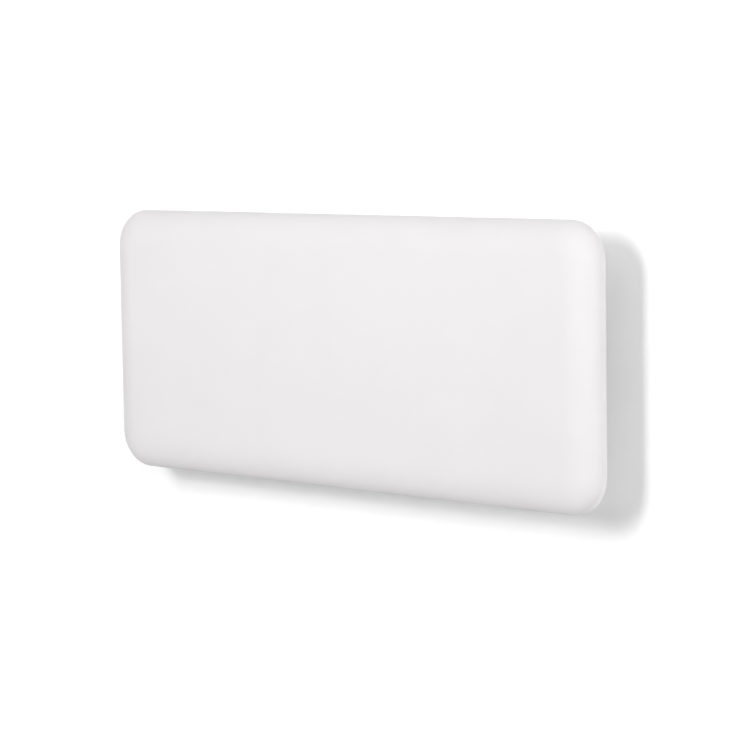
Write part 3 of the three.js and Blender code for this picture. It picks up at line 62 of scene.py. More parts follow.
# The least turn of an edge that still shows as an edge, in degrees.
SHARP = 32.0
Point = Sequence[float]
Outline = Sequence[Point]
Pair = tuple[float, float]
Colour = tuple[float, float, float]
Socket = bpy.types.NodeSocket
Node = bpy.types.Node
BLACK: Colour = (0.0, 0.0, 0.0)
WHITE: Colour = (1.0, 1.0, 1.0)


class Body(Enum):
    """The heater's moving bodies."""

    BRACKET = "wall_bracket"
    HEATER = "heater"
    PLUS = "button_plus"
    MINUS = "button_minus"
    MODE = "button_mode"
    POWER = "button_power"
    ROCKER = "mains_rocker"


class NodeGraph:
    """A short way to write shader nodes."""

    def __init__(self, owner: bpy.types.Material | bpy.types.World, output: str = "OutputMaterial") -> None:
        """Clears the owner's nodes down to an output.

        Args:
            owner: The material or the world.
            output: The output's type, without its ShaderNode prefix.
        """
        owner.use_nodes = True
        self.tree = owner.node_tree
        self.tree.nodes.clear()
        self.output = self.add(output)

    def add(self, kind: str, **settings: object) -> Node:
        """Adds a node.

        Args:
            kind: The node's type, without its ShaderNode prefix.
            **settings: Properties of the node.

        Returns:
            The new node.
        """
        node = self.tree.nodes.new(f"ShaderNode{kind}")
        for name, value in settings.items():
            setattr(node, name, value)
        return node

    def feed(self, node: Node, *linked: Socket, **inputs: object) -> Node:
        """Sets or links a node's inputs.

        Args:
            node: The node.
            *linked: Outputs for its first inputs, in order.
            **inputs: A value or an output for each named input, with underscores for spaces.

        Returns:
            The same node.
        """
        for value, socket in zip(linked, node.inputs):
            self.tree.links.new(value, socket)
        for name, value in inputs.items():
            socket = node.inputs[name.replace("_", " ")]
            if isinstance(value, Socket):
                self.tree.links.new(value, socket)
            else:
                socket.default_value = value
        return node

    def textured(self, node: Node, size: float, scale: Point = (1, 1, 1), **inputs: object) -> Node:
        """Lays a texture over the piece's own frame.

        Args:
            node: The texture.
            size: The size of its figure, in metres.
            scale: What each axis is scaled by.
            **inputs: Its other inputs.

        Returns:
            The texture.
        """
        place = self.add("TexCoord").outputs["Object"]
        scaled = self.feed(self.add("Mapping"), Vector=place, Scale=scale)
        return self.feed(node, Vector=scaled.outputs["Vector"], Scale=1 / size, **inputs)

    def spread(self, value: Socket, low: float, high: float) -> Socket:
        """A value from 0..1 stretched to a range."""
        return self.feed(self.add("MapRange"), Value=value, To_Min=low, To_Max=high).outputs["Result"]

    def ramp(self, value: Socket, stops: Pair, colours: tuple[Colour, Colour]) -> Socket:
        """Colours a value.

        Args:
            value: The value.
            stops: Where the first colour ends and where the second starts.
            colours: The two colours.

        Returns:
            The colour.
        """
        node = self.feed(self.add("ValToRGB"), Fac=value)
        for element, stop, colour in zip(node.color_ramp.elements, stops, colours):
            element.position = stop
            element.color = (*colour, 1.0)
        return node.outputs["Color"]

    def bump(self, height: Socket, depth: float, **under: Socket) -> Socket:
        """The surface's direction, raised by a grey value, over a coarser relief that Normal may give."""
        node = self.feed(self.add("Bump"), Height=height, Distance=depth, Strength=1.0, **under)
        return node.outputs["Normal"]

    def surface(self, **inputs: object) -> None:
        """Ends the material with a surface shader that has these inputs."""
        shader = self.feed(self.add("BsdfPrincipled"), **inputs)
        self.feed(self.output, Surface=shader.outputs["BSDF"])


def mixed(colour: Colour, other: Colour, share: float) -> Colour:
    """A colour part of the way to another, by a share from 0 to 1."""
    return tuple(a + (b - a) * share for a, b in zip(colour, other))


@dataclass(frozen=True)
class Clouds:
    """Noise: a cloud's size, how many finer layers it has and what each axis is scaled by."""

    size: float
    detail: float
    scale: Point = (1, 1, 1)

    def value(self, graph: NodeGraph) -> Socket:
        """The noise at each point, from 0 to 1."""
        noise = graph.add("TexNoise")
        return graph.textured(noise, self.size, self.scale, Detail=self.detail).outputs["Fac"]


@dataclass(frozen=True)
class Spangle:
    """The crystals of a plated sheet, each with a tone of its own."""

    size: float

    def value(self, graph: NodeGraph) -> Socket:
        """The tone at each point, from 0 to 1."""
        flakes = graph.textured(graph.add("TexVoronoi"), self.size)
        return graph.feed(graph.add("RGBToBW"), Color=flakes.outputs["Color"]).outputs["Val"]


@dataclass(frozen=True)
class Weave:
    """The slanting bands of a woven sleeve."""

    size: float
    waver: float

    def value(self, graph: NodeGraph) -> Socket:
        """The height at each point, from 0 to 1."""
        bands = graph.add("TexWave", wave_type="BANDS", bands_direction="DIAGONAL")
        return graph.textured(bands, self.size, Distortion=self.waver).outputs["Fac"]


Pattern = Clouds | Spangle | Weave
Layers = tuple[tuple[Pattern, float], ...]
Inputs = tuple[tuple[str, float], ...]


@dataclass(frozen=True)
class Skin:
    """A finish whose colour, roughness and relief each follow a pattern.

    Its colour runs between the main colour and another, mixed in by a share, at two stops of the tones.
    Where the two ends of its roughness are alike, the roughness is constant. The relief is coarse to fine.
    """

    colour: Colour
    other: Colour = BLACK
    share: float = 1.0
    other_first: bool = True
    tones: Pattern = Clouds(10 * MM, 2.0)
    stops: Pair = (0.0, 1.0)
    dulling: Pattern = Clouds(10 * MM, 2.0)
    roughness: Pair = (0.5, 0.5)
    relief: Layers = ()
    shader: Inputs = ()

    def dress(self, graph: NodeGraph) -> None:
        """Adds the finish's nodes.

        Args:
            graph: The material's nodes.
        """
        shades = (mixed(self.colour, self.other, self.share), self.colour)
        colour = graph.ramp(self.tones.value(graph), self.stops, shades if self.other_first else shades[::-1])
        low, high = self.roughness
        roughness = low if low == high else graph.spread(self.dulling.value(graph), low, high)
        layers = {}
        for pattern, height in self.relief:
            layers = {"Normal": graph.bump(pattern.value(graph), height, **layers)}
        graph.surface(Base_Color=colour, Roughness=roughness, **layers, **dict(self.shader))


@dataclass(frozen=True)
class PowderCoat(Skin):
    """Baked powder paint: an even satin skin with a fine orange peel."""

    share: float = 0.012
    tones: Pattern = Clouds(90 * MM, 3.0)
    stops: Pair = (0.35, 0.65)
    dulling: Pattern = Clouds(4 * MM, 3.0)
    roughness: Pair = (0.58, 0.66)
    relief: Layers = (
        (Clouds(2.2 * MM, 1.0), 0.02 * MM),
        (Clouds(0.35 * MM, 1.0), 0.006 * MM),
    )
    shader: Inputs = (("Specular_IOR_Level", 0.25),)


@dataclass(frozen=True)
class PlatedSteel(Skin):
    """Zinc-plated sheet steel: a soft spangle, drawn streaks and a few dull patches."""

    share: float = 0.22
    tones: Pattern = Spangle(5 * MM)
    stops: Pair = (0.1, 0.9)
    dulling: Pattern = Clouds(25 * MM, 4.0)
    roughness: Pair = (0.26, 0.48)
    relief: Layers = ((Clouds(0.5 * MM, 2.0, (0.04, 1, 1)), 0.004 * MM),)
    shader: Inputs = (("Metallic", 1.0),)


@dataclass(frozen=True)
class DrawnMetal(Skin):
    """Bare metal with lines along its length and stains across it."""

    tones: Pattern = Clouds(18 * MM, 4.0)
    stops: Pair = (0.3, 0.6)
    dulling: Pattern = Clouds(0.6 * MM, 3.0, (0.03, 1, 1))
    relief: Layers = ((Clouds(0.6 * MM, 3.0, (0.03, 1, 1)), 0.003 * MM),)
    shader: Inputs = (("Metallic", 1.0),)


@dataclass(frozen=True)
class MouldedPlastic(Skin):
    """Injection-moulded plastic with a sparked grain."""

    other: Colour = (0.5, 0.5, 0.5)
    share: float = 0.05
    tones: Pattern = Clouds(12 * MM, 3.0)
    stops: Pair = (0.3, 0.7)
    dulling: Pattern = Clouds(0.4 * MM, 2.0)
    roughness: Pair = (0.39, 0.55)
    relief: Layers = ((Clouds(0.4 * MM, 2.0), 0.008 * MM),)


@dataclass(frozen=True)
class SmokedPane(Skin):
    """A dark clear pane with a few smears over an unlit display."""

    other: Colour = WHITE
    share: float = 0.02
    other_first: bool = False
    tones: Pattern = Clouds(7 * MM, 4.0)
    stops: Pair = (0.4, 0.8)
    dulling: Pattern = Clouds(7 * MM, 4.0)
    roughness: Pair = (0.07, 0.15)
    shader: Inputs = (("Coat_Weight", 1.0), ("Coat_Roughness", 0.03))


@dataclass(frozen=True)
class Steatite(Skin):
    """Unglazed insulator ceramic with fine pores."""

    other: Colour = (0.3, 0.25, 0.2)
    share: float = 0.35
    tones: Pattern = Clouds(0.6 * MM, 4.0)
    stops: Pair = (0.25, 0.5)
    roughness: Pair = (0.75, 0.75)
    relief: Layers = ((Clouds(0.6 * MM, 4.0), 0.02 * MM),)


@dataclass(frozen=True)
class MattRubber(Skin):
    """Moulded rubber with a dusty bloom."""

    other: Colour = (0.3, 0.3, 0.3)
    share: float = 0.15
    other_first: bool = False
    tones: Pattern = Clouds(5 * MM, 5.0)
    stops: Pair = (0.4, 0.75)
    roughness: Pair = (0.82, 0.82)
    relief: Layers = ((Clouds(0.3 * MM, 2.0), 0.015 * MM),)


@dataclass(frozen=True)
class BraidedLead(Skin):
    """A lead in a woven sleeve, painted darker in the low bands of its weave as painted shade between the
    strands.
    """

    share: float = 0.35
    # The weave darkens the colour in its low bands, painted shade between the strands, and also gives the
    # relief.
    tones: Pattern = Weave(5.4 * MM, 0.5)
    stops: Pair = (0.2, 0.8)
    roughness: Pair = (0.8, 0.8)
    relief: Layers = ((Weave(5.4 * MM, 0.5), 0.05 * MM),)


@dataclass(frozen=True)
class CircuitBoard:
    """Solder mask over copper runs, with bare pads."""

    mask: Colour
    copper: Colour = (0.09, 0.24, 0.08)
    covered: float = 0.6
    run: float = 10.4 * MM
    run_height: float = 0.03 * MM
    roughness: float = 0.35

    def dress(self, graph: NodeGraph) -> None:
        """Adds the board's nodes.

        Args:
            graph: The material's nodes.
        """
        shades = (self.mask, mixed(self.mask, self.copper, self.covered), self.copper)
        first, second, gap = ((*shade, 1.0) for shade in shades)
        bricks = graph.add("TexBrick")
        runs = graph.textured(bricks, self.run, (0, 1, 1), Color1=first, Color2=second, Mortar=gap).outputs
        relief = graph.bump(runs["Fac"], self.run_height)
        graph.surface(Base_Color=runs["Color"], Roughness=self.roughness, Normal=relief)


class Finish(Enum):
    """Every finish on the heater; a member's value dresses its material."""

    POWDER_COAT = PowderCoat((0.772, 0.756, 0.763))
    CASE_COAT = PowderCoat((0.73, 0.73, 0.735), share=0.04, roughness=(0.51, 0.59))
    ZINC_STEEL = PlatedSteel((0.62, 0.64, 0.66))
    SPRING_STEEL = DrawnMetal((0.30, 0.31, 0.34), (0.19, 0.19, 0.23), roughness=(0.24, 0.46))
    ALUMINIUM = DrawnMetal((0.80, 0.81, 0.83), (0.68, 0.69, 0.71), roughness=(0.2, 0.42))
    SHEATH_STEEL = DrawnMetal((0.36, 0.33, 0.30), (0.20, 0.16, 0.15), roughness=(0.37, 0.59))
    CERAMIC = Steatite((0.80, 0.76, 0.67))
    GREY_PLASTIC = MouldedPlastic((0.52, 0.53, 0.54))
    WHITE_PLASTIC = MouldedPlastic((0.79, 0.79, 0.78), share=0.02)
    BLACK_PLASTIC = MouldedPlastic((0.022, 0.023, 0.025), share=0.02)
    SMOKED_WINDOW = SmokedPane((0.012, 0.013, 0.015))
    BOARD = CircuitBoard((0.02, 0.09, 0.04))
    RUBBER = MattRubber((0.03, 0.031, 0.033))
    BRASS = DrawnMetal((0.72, 0.52, 0.22), (0.48, 0.33, 0.13), roughness=(0.22, 0.44))
    UNLIT_FIGURE = MouldedPlastic((0.035, 0.036, 0.038), roughness=(0.24, 0.4), relief=())
    SIGN_GREY = MouldedPlastic((0.09, 0.093, 0.1), roughness=(0.44, 0.6))
    LEAD_RED = BraidedLead((0.35, 0.07, 0.05))
    LEAD_BLUE = BraidedLead((0.05, 0.13, 0.36))
    LEAD_GREEN = BraidedLead((0.2, 0.33, 0.05))
    LEAD_GREY = BraidedLead((0.45, 0.45, 0.44))

    @property
    def slot(self) -> str:
        """The record's slot that holds this finish."""
        return self.name.lower()

    @cache
    def material(self) -> bpy.types.Material:
        """The finish's material, built on first use.

        Returns:
            The material.
        """
        material = bpy.data.materials.new(f"{self.slot}_finish")
        self.value.dress(NodeGraph(material))
        return material


class Sign(Enum):
    """The plain signs on the push buttons: their strokes' widths and heights, and whether they have a ring."""

    PLUS = (((0.5 * MM, 3 * MM), (3 * MM, 0.5 * MM)), False)
    MINUS = (((3 * MM, 0.5 * MM),), False)
    RING = ((), True)
    BAR_IN_RING = (((0.4 * MM, 1.4 * MM),), True)


BUTTON_SIGNS = dict(zip((Body.PLUS, Body.MINUS, Body.MODE, Body.POWER), Sign))
NODE_FINISH = {row["node"]: Finish[row["material_slot"].upper()] for row in frame["record"]["subparts"]}
HANDS = ("left", "right")


class Axis(Enum):
    """The way an outline is pushed or a profile is turned, as the frame's axes for its three directions."""

    X = ((0, 1, 0), (0, 0, 1), (1, 0, 0))
    Y = ((1, 0, 0), (0, 0, 1), (0, -1, 0))
    Z = ((1, 0, 0), (0, 1, 0), (0, 0, 1))

    def matrix(self, place: Point) -> Matrix:
        """Maps an outline's two directions and its push onto the frame, from a place."""
        return Matrix.Translation(place) @ Matrix(self.value).transposed().to_4x4()

    def sign(self) -> int:
        """Which way along the frame's axis the push goes."""
        return -1 if self is Axis.Y else 1


class NodeBox:
    """A CAD node's box: its two corners, its middle and its size."""

    def __init__(self, node: str) -> None:
        """Reads a node's box.

        Args:
            node: The node's name.
        """
        self.low, self.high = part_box(node)
        self.middle = (self.low + self.high) / 2
        self.size = self.high - self.low


def arc(centre: Point, radius: float, start: float, end: float, steps: int) -> list[Vector]:
    """Points on an arc about a centre, from one angle to another in degrees, both ends included."""
    angles = (math.radians(start + (end - start) * i / steps) for i in range(steps + 1))
    return [Vector((centre[0] + radius * math.cos(a), centre[1] + radius * math.sin(a))) for a in angles]


def rounded(width: float, height: float, radius: float, steps: int, centre: Point = (0, 0)) -> list[Vector]:
    """The outline of a rectangle with round corners, anticlockwise.

    Args:
        width: Its width.
        height: Its height.
        radius: Its corners' radius.
        steps: How many steps a corner has.
        centre: Its middle.

    Returns:
        The outline's points.
    """
    radius = min(radius, width / 2 - HAIR, height / 2 - HAIR)
    across, up = width / 2 - radius, height / 2 - radius
    corners = enumerate([(across, up), (-across, up), (-across, -up), (across, -up)])
    points = [point for i, corner in corners for point in arc(corner, radius, 90 * i, 90 * i + 90, steps)]
    return [Vector(centre) + point for point in points]


def round_ended(size: Point, steps: int, centre: Point = (0, 0)) -> list[Vector]:
    """The outline of a slot, as width and height, whose shorter ends are round."""
    return rounded(*size, min(size) / 2, steps, centre)


def disc(radius: float, steps: int, centre: Point = (0, 0)) -> list[Vector]:
    """The outline of a circle with a number of sides."""
    return arc(centre, radius, 0, 360 * (1 - 1 / steps), steps - 1)


def level_ring(size: Vector, side: float, top: float, corner: float, steps: int, y: float) -> list[Vector]:
    """The outline of a box's front at a depth, set in from its sides and from its top and foot."""
    outline = rounded(size.x - 2 * side, size.z - 2 * top, corner, steps)
    return [Vector((p.x, y, p.y)) for p in outline]


def fall_of_bend(steps: int) -> list[tuple[float, float]]:
    """Shares of a quarter turn: how much is left to go in, and how far it has fallen."""
    angles = [math.pi / 2 * i / steps for i in range(steps + 1)]
    return [(1 - math.sin(a), 1 - math.cos(a)) for a in angles]


def spaced(count: int, pitch: float, middle: float = 0.0) -> list[float]:
    """Evenly spaced places about a middle."""
    return [middle + (i - (count - 1) / 2) * pitch for i in range(count)]


def around(azimuth: float, elevation: float, distance: float) -> Vector:
    """A place at two angles in degrees, rightwards from straight ahead and up from level."""
    a, e = math.radians(azimuth), math.radians(elevation)
    return distance * Vector((math.sin(a) * math.cos(e), -math.cos(a) * math.cos(e), math.sin(e)))


def line_with_bends(points: Outline, radius: float, steps: int) -> list[Vector]:
    """Rounds the corners of an open line with true arcs.

    Args:
        points: The line's corners.
        radius: The arcs' radius.
        steps: How many steps an arc has.

    Returns:
        The rounded line.
    """
    corners = [Vector(p) for p in points]
    line = [corners[0]]
    for before, corner, after in zip(corners, corners[1:], corners[2:]):
        back, ahead = before - corner, after - corner
        half = back.angle(ahead) / 2
        reach = min(radius / math.tan(half), back.length / 2, ahead.length / 2)
        centre = corner + (back.normalized() + ahead.normalized()).normalized() * reach / math.cos(half)
        start = corner + back.normalized() * reach - centre
        end = corner + ahead.normalized() * reach - centre
        sweep = start.angle_signed(end) if start.length else 0.0
        line += [centre + Matrix.Rotation(-sweep * i / steps, 2) @ start for i in range(steps + 1)]
    return [*line, corners[-1]]


def folded_section(points: Outline, sheet: float, radius: float, steps: int = 5) -> list[Vector]:
    """The section of a folded sheet whose middle follows a line.

    Args:
        points: The line's corners.
        sheet: The sheet's thickness.
        radius: The radius of its bends, at the middle of the sheet.
        steps: How many steps a bend has.

    Returns:
        The section's outline.
    """
    line = line_with_bends(points, radius, steps)
    near, far = [], []
    for i, point in enumerate(line):
        arriving = (point - line[i - 1] if i else line[1] - line[0]).normalized()
        leaving = (line[i + 1] - point if i + 1 < len(line) else arriving).normalized()
        along = (arriving + leaving).normalized()
        offset = Vector((-along.y, along.x)) * (sheet / 2 / along.dot(leaving))
        near.append(point + offset)
        far.insert(0, point - offset)
    return near + far


def add_object(name: str, data: bpy.types.ID) -> bpy.types.Object:
    """Puts a mesh, a lamp or a lens in the scene.

    Args:
        name: The object's name.
        data: What it holds.

    Returns:
        The object.
    """
    made = bpy.data.objects.new(name, data)
    bpy.context.scene.collection.objects.link(made)
    return made


def break_edges(made: bpy.types.Object, name: str, width: float, angle: float, segments: int) -> None:
    """Bevels an object's edges.

    Args:
        made: The object.
        name: The modifier's name.
        width: The bevel's width.
        angle: The least turn of an edge that gets it, in degrees.
        segments: How many faces it has.
    """
    step = made.modifiers.new(name, "BEVEL")
    step.width = width
    step.segments = segments
    step.limit_method = "ANGLE"
    step.angle_limit = math.radians(angle)


class Form:
    """A mesh in the making: rings, pushed outlines, turned profiles and cuts."""

    def __init__(self) -> None:
        """Starts with an empty mesh."""
        self.mesh = bmesh.new()

    def loft(self, rings: Sequence[Sequence[Vector]]) -> Self:
        """Skins a run of rings, with a cap at each end.

        Args:
            rings: The rings, each with as many points as the next.

        Returns:
            The form.
        """
        rows = [[self.mesh.verts.new(point) for point in ring] for ring in rings]
        for near, far in zip(rows, rows[1:]):
            for i, vertex in enumerate(near):
                after = (i + 1) % len(near)
                self.mesh.faces.new((vertex, near[after], far[after], far[i]))
        self.mesh.faces.new(list(reversed(rows[0])))
        self.mesh.faces.new(rows[-1])
        return self

    def prism(self, outline: Outline, start: float, end: float, axis: Axis, place: Point = ORIGIN) -> Self:
        """Pushes a flat outline from one level to another along an axis, with its origin at a place."""
        turn = axis.matrix(place)
        return self.loft([[turn @ Vector((*point, depth)) for point in outline] for depth in (start, end)])

    def punch(self, outline: Outline, level: float, reach: float, axis: Axis, place: Point = ORIGIN) -> Self:
        """Pushes a flat outline to both sides of a level along an axis."""
        return self.prism(outline, level - reach, level + reach, axis, place)

    def turned(self, profile: Outline, axis: Axis, place: Point, steps: int) -> Self:
        """Turns a profile that starts and ends on the axis, or that closes on itself.

        Args:
            profile: Points as radius and height.
            axis: The axis of the turn.
            place: Where the profile's origin lies.
            steps: How many steps a turn has.

        Returns:
            The form.
        """
        turn = axis.matrix(place)
        rows = []
        for radius, height in profile:
            outline = [(0, 0)] if radius < HAIR else disc(radius, steps)
            rows.append([self.mesh.verts.new(turn @ Vector((*point, height))) for point in outline])
        pairs = list(zip(rows, rows[1:]))
        if len(rows[0]) > 1:
            pairs.append((rows[-1], rows[0]))
        for near, far in pairs:
            for i in range(steps):
                j = (i + 1) % steps
                corners = [near[i % len(near)], near[j % len(near)], far[j % len(far)], far[i % len(far)]]
                unique = list(dict.fromkeys(corners))
                if len(unique) > 2:
                    self.mesh.faces.new(unique)
        return self

    def mirrored_in_x(self) -> Self:
        """Mirrors the form from left to right."""
        bmesh.ops.scale(self.mesh, vec=(-1, 1, 1), verts=self.mesh.verts)
        return self

    def tipped(self, degrees: float, centre: Point) -> Self:
        """Turns the form about the level line through a point that runs from front to back.

        Args:
            degrees: How far.
            centre: The point.

        Returns:
            The form.
        """
        turn = Matrix.Rotation(math.radians(degrees), 3, "Y")
        bmesh.ops.rotate(self.mesh, cent=centre, matrix=turn, verts=self.mesh.verts)
        return self

    def data(self, name: str) -> bpy.types.Mesh:
        """The mesh so far, facing out; the form is spent.

        Args:
            name: The mesh's name.

        Returns:
            The mesh.
        """
        bmesh.ops.recalc_face_normals(self.mesh, faces=self.mesh.faces)
        data = bpy.data.meshes.new(name)
        self.mesh.to_mesh(data)
        self.mesh.free()
        return data

    def combined(self, other: Self, operation: str) -> Self:
        """Joins the form with another, or cuts it by the other, which is spent.

        Args:
            other: The other form.
            operation: UNION, DIFFERENCE or INTERSECT.

        Returns:
            The form.
        """
        whole, tool = (add_object("rough", form.data("rough")) for form in (self, other))
        step = whole.modifiers.new("combine", "BOOLEAN")
        step.operation, step.object, step.solver = operation, tool, "EXACT"
        result = whole.evaluated_get(bpy.context.evaluated_depsgraph_get())
        self.mesh = bmesh.new()
        self.mesh.from_mesh(result.to_mesh())
        for rough in (whole, tool):
            data = rough.data
            bpy.data.objects.remove(rough)
            bpy.data.meshes.remove(data)
        return self

    def cut(self, other: Self) -> Self:
        """Cuts the form by another."""
        return self.combined(other, "DIFFERENCE")

    def joined(self, other: Self) -> Self:
        """Fuses the form with another."""
        return self.combined(other, "UNION")

    def piece(self, name: str, finish: Finish, body: Body, nodes: Sequence[str] = (), edge: float = 0) -> None:
        """Ends the form as a piece of the heater, with blended curves and broken edges.

        Args:
            name: The piece's name.
            finish: Its finish.
            body: The body that it rides on.
            nodes: The CAD nodes that it stands for.
            edge: The width of its broken edges, or zero.
        """
        made = add_object(name, self.data(name))
        made.data.materials.append(finish.material())
        if edge > 0:
            break_edges(made, "edges", edge, SHARP, 2)
        made.data.shade_smooth()
        made.data.set_sharp_from_angle(angle=math.radians(SHARP))
        made.modifiers.new("shading", "WEIGHTED_NORMAL").keep_sharp = True
        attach(made, body.value)
        if nodes:
            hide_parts(*nodes)
        LOG.info("made %s", name)


@dataclass
class FrontCover:
    """The pressed cover: a flat face, a pillow edge, a short side and a hem turned inwards."""

    corner: float = 52 * MM
    roll_in: float = 45 * MM
    roll_deep: float = 25 * MM
    sheet: float = 1 * MM
    hem: float = 14 * MM
    hem_bend: float = 2 * MM
    flat_margin: float = 4 * MM
    corner_steps: int = 28
    roll_steps: int = 24
    bend_steps: int = 6

    def ring(self, inset: float, y: float) -> list[Vector]:
        """One ring of the shell at a depth, set in from the cover's outline."""
        radius = max(self.corner - inset, self.hem_bend)
        return level_ring(NodeBox("front_cover").size, inset, inset, radius, self.corner_steps, y)

    def build(self) -> None:
        """Builds the cover as one closed sheet."""
        cover = NodeBox("front_cover")
        front, back, thin = cover.low.y, cover.high.y, self.sheet
        roll, bend = fall_of_bend(self.roll_steps), fall_of_bend(self.bend_steps)
        inner_bend, inner_in, inner_deep = self.hem_bend - thin, self.roll_in - thin, self.roll_deep - thin
        flat = self.roll_in + self.flat_margin
        rings = [self.ring(flat, front)]
        rings += [self.ring(self.roll_in * left, front + self.roll_deep * fall) for left, fall in roll]
        rings += [self.ring(self.hem_bend * fall, back - self.hem_bend * left) for left, fall in bend]
        rings += [self.ring(self.hem, back), self.ring(self.hem, back - thin)]
        for left, fall in reversed(bend):
            rings.append(self.ring(thin + inner_bend * fall, back - thin - inner_bend * left))
        for left, fall in reversed(roll):
            rings.append(self.ring(thin + inner_in * left, front + thin + inner_deep * fall))
        rings += [self.ring(flat, front + thin)]
        Form().loft(rings).piece("cover_shell", Finish.POWDER_COAT, Body.HEATER, ["front_cover"])


@dataclass
class RearCase:
    """The drawn case behind the cover: a flange, four walls and a back, with its openings."""

    side_inset: float = 47.5 * MM
    top_inset: float = 30 * MM
    flange_corner: float = 47 * MM
    corner: float = 25 * MM
    sheet: float = 1 * MM
    mouth_bend: float = 2 * MM
    back_bend: float = 4 * MM
    vent: Point = (10 * MM, 20 * MM)
    vent_pitch: float = 30 * MM
    top_vents: int = 24
    bottom_vents: int = 21
    bottom_shift: float = -50 * MM
    hook_slot: Point = (8 * MM, 19 * MM)
    catch_slot: Point = (18 * MM, 13 * MM)
    catch_top: float = 117 * MM
    slot_corner: float = 1 * MM
    gap: float = 0.3 * MM
    rim: float = 2 * MM
    gland_hole: float = 8.3 * MM
    overrun: float = 8 * MM
    edge: float = 0.25 * MM
    corner_steps: int = 16
    bend_steps: int = 5
    vent_steps: int = 7
    slot_steps: int = 3
    window_steps: int = 4
    hole_steps: int = 40

    def ring(self, out: float, y: float) -> list[Vector]:
        """One ring of the case at a depth, set out from the walls' outer faces."""
        sizes = (self.side_inset - out, self.top_inset - out, self.corner + out, self.corner_steps)
        return level_ring(NodeBox("rear_case").size, *sizes, y)

    def shell(self) -> Form:
        """The case without its openings.

        Returns:
            The closed sheet.
        """
        case = NodeBox("rear_case")
        front, back, thin = case.low.y, case.high.y, self.sheet
        mouth, wide_mouth = self.mouth_bend, self.mouth_bend + thin
        outer, inner = self.back_bend, self.back_bend - thin
        bend = fall_of_bend(self.bend_steps)
        rings = [self.ring(-thin - inner * left, back - thin - inner * fall) for left, fall in bend]
        rings += [self.ring(-thin + wide_mouth * fall, front + wide_mouth * left) for left, fall in bend]
        for y in (front, front + thin):
            rings.append(level_ring(case.size, 0, 0, self.flange_corner, self.corner_steps, y))
        rings += [self.ring(mouth * fall, front + thin + mouth * left) for left, fall in reversed(bend)]
        rings += [self.ring(-outer * left, back - outer * fall) for left, fall in reversed(bend)]
        return Form().loft(rings)

    def openings(self) -> Form:
        """Everything that is cut from the case.

        Returns:
            The cutting form.
        """
        case, reach = NodeBox("rear_case"), self.overrun
        side, top = case.high.x - self.side_inset, case.high.z - self.top_inset
        tool = Form()
        vent = round_ended(self.vent, self.vent_steps)
        for x in spaced(self.top_vents, self.vent_pitch):
            tool.punch(vent, top, reach, Axis.Z, (x, case.middle.y, 0))
        for x in spaced(self.bottom_vents, self.vent_pitch, self.bottom_shift):
            tool.punch(vent, -top, reach, Axis.Z, (x, case.middle.y, 0))
        for hand in HANDS:
            liner, spring = NodeBox(f"hook_liner_{hand}"), NodeBox(f"catch_spring_{hand}")
            slots = (
                (liner.middle.x, liner.high.z + self.gap, self.hook_slot),
                (spring.middle.x, self.catch_top, self.catch_slot),
            )
            for x, slot_top, size in slots:
                outline = rounded(*size, self.slot_corner, self.slot_steps, (x, slot_top - size[1] / 2))
                tool.punch(outline, -case.high.y, reach, Axis.Y)
        plate = NodeBox("control_fascia")
        size = [side - 2 * self.rim for side in plate.size.yz]
        window = rounded(*size, self.rim, self.window_steps, plate.middle.yz)
        tool.punch(window, side, reach, Axis.X)
        hole = disc(self.gland_hole, self.hole_steps, NodeBox("cable_gland").middle.xy)
        return tool.punch(hole, -top, reach, Axis.Z)

    def build(self) -> None:
        """Builds the case."""
        form = self.shell().cut(self.openings())
        form.piece("case_shell", Finish.CASE_COAT, Body.HEATER, ["rear_case"], self.edge)


@dataclass
class CoverScrews:
    """Six pan-head screws with cross recesses and rolled threads."""

    count: int = 6
    head: float = 3.5 * MM
    crown: float = 0.9 * MM
    head_height: float = 2.4 * MM
    shank: float = 1.8 * MM
    thread: float = 0.22 * MM
    thread_pitch: float = 0.8 * MM
    recess_width: float = 0.9 * MM
    recess_reach: float = 2 * MM
    recess_depth: float = 1.1 * MM
    recess_corner: float = 0.18 * MM
    tip: float = 0.6 * MM
    edge: float = 0.06 * MM
    steps: int = 28
    crown_steps: int = 6
    recess_steps: int = 2

    def profile(self, length: float) -> list[Point]:
        """The screw's profile, its shank running forwards.

        Args:
            length: The shank's length.

        Returns:
            Points as radius and height.
        """
        centre = (self.head - self.crown, -self.head_height + self.crown)
        points = [(0, -self.head_height), *arc(centre, self.crown, -90, 0, self.crown_steps)]
        points += [(self.head, 0), (self.shank, 0)]
        turns = int((length - self.shank) / self.thread_pitch)
        for i in range(1, turns + 1):
            top = i * self.thread_pitch
            points += [(self.shank - self.thread, top - self.thread_pitch / 2), (self.shank, top)]
        return [*points, (self.shank / 2, length - self.tip), (0, length)]

    def build(self) -> None:
        """Builds the screws."""
        for i in range(1, self.count + 1):
            box = NodeBox(f"cover_screw_{i}")
            place = Vector((box.middle.x, box.high.y - self.head_height, box.middle.z))
            screw = Form().turned(self.profile(place.y - box.low.y), Axis.Y, place, self.steps)
            bar, face = (2 * self.recess_reach, self.recess_width), (place.x, box.high.y, place.z)
            for size in (bar, bar[::-1]):
                outline = rounded(*size, self.recess_corner, self.recess_steps)
                screw.cut(Form().punch(outline, 0, self.recess_depth, Axis.Y, face))
            screw.piece(f"screw_{i}", Finish.ZINC_STEEL, Body.HEATER, [f"cover_screw_{i}"], self.edge)


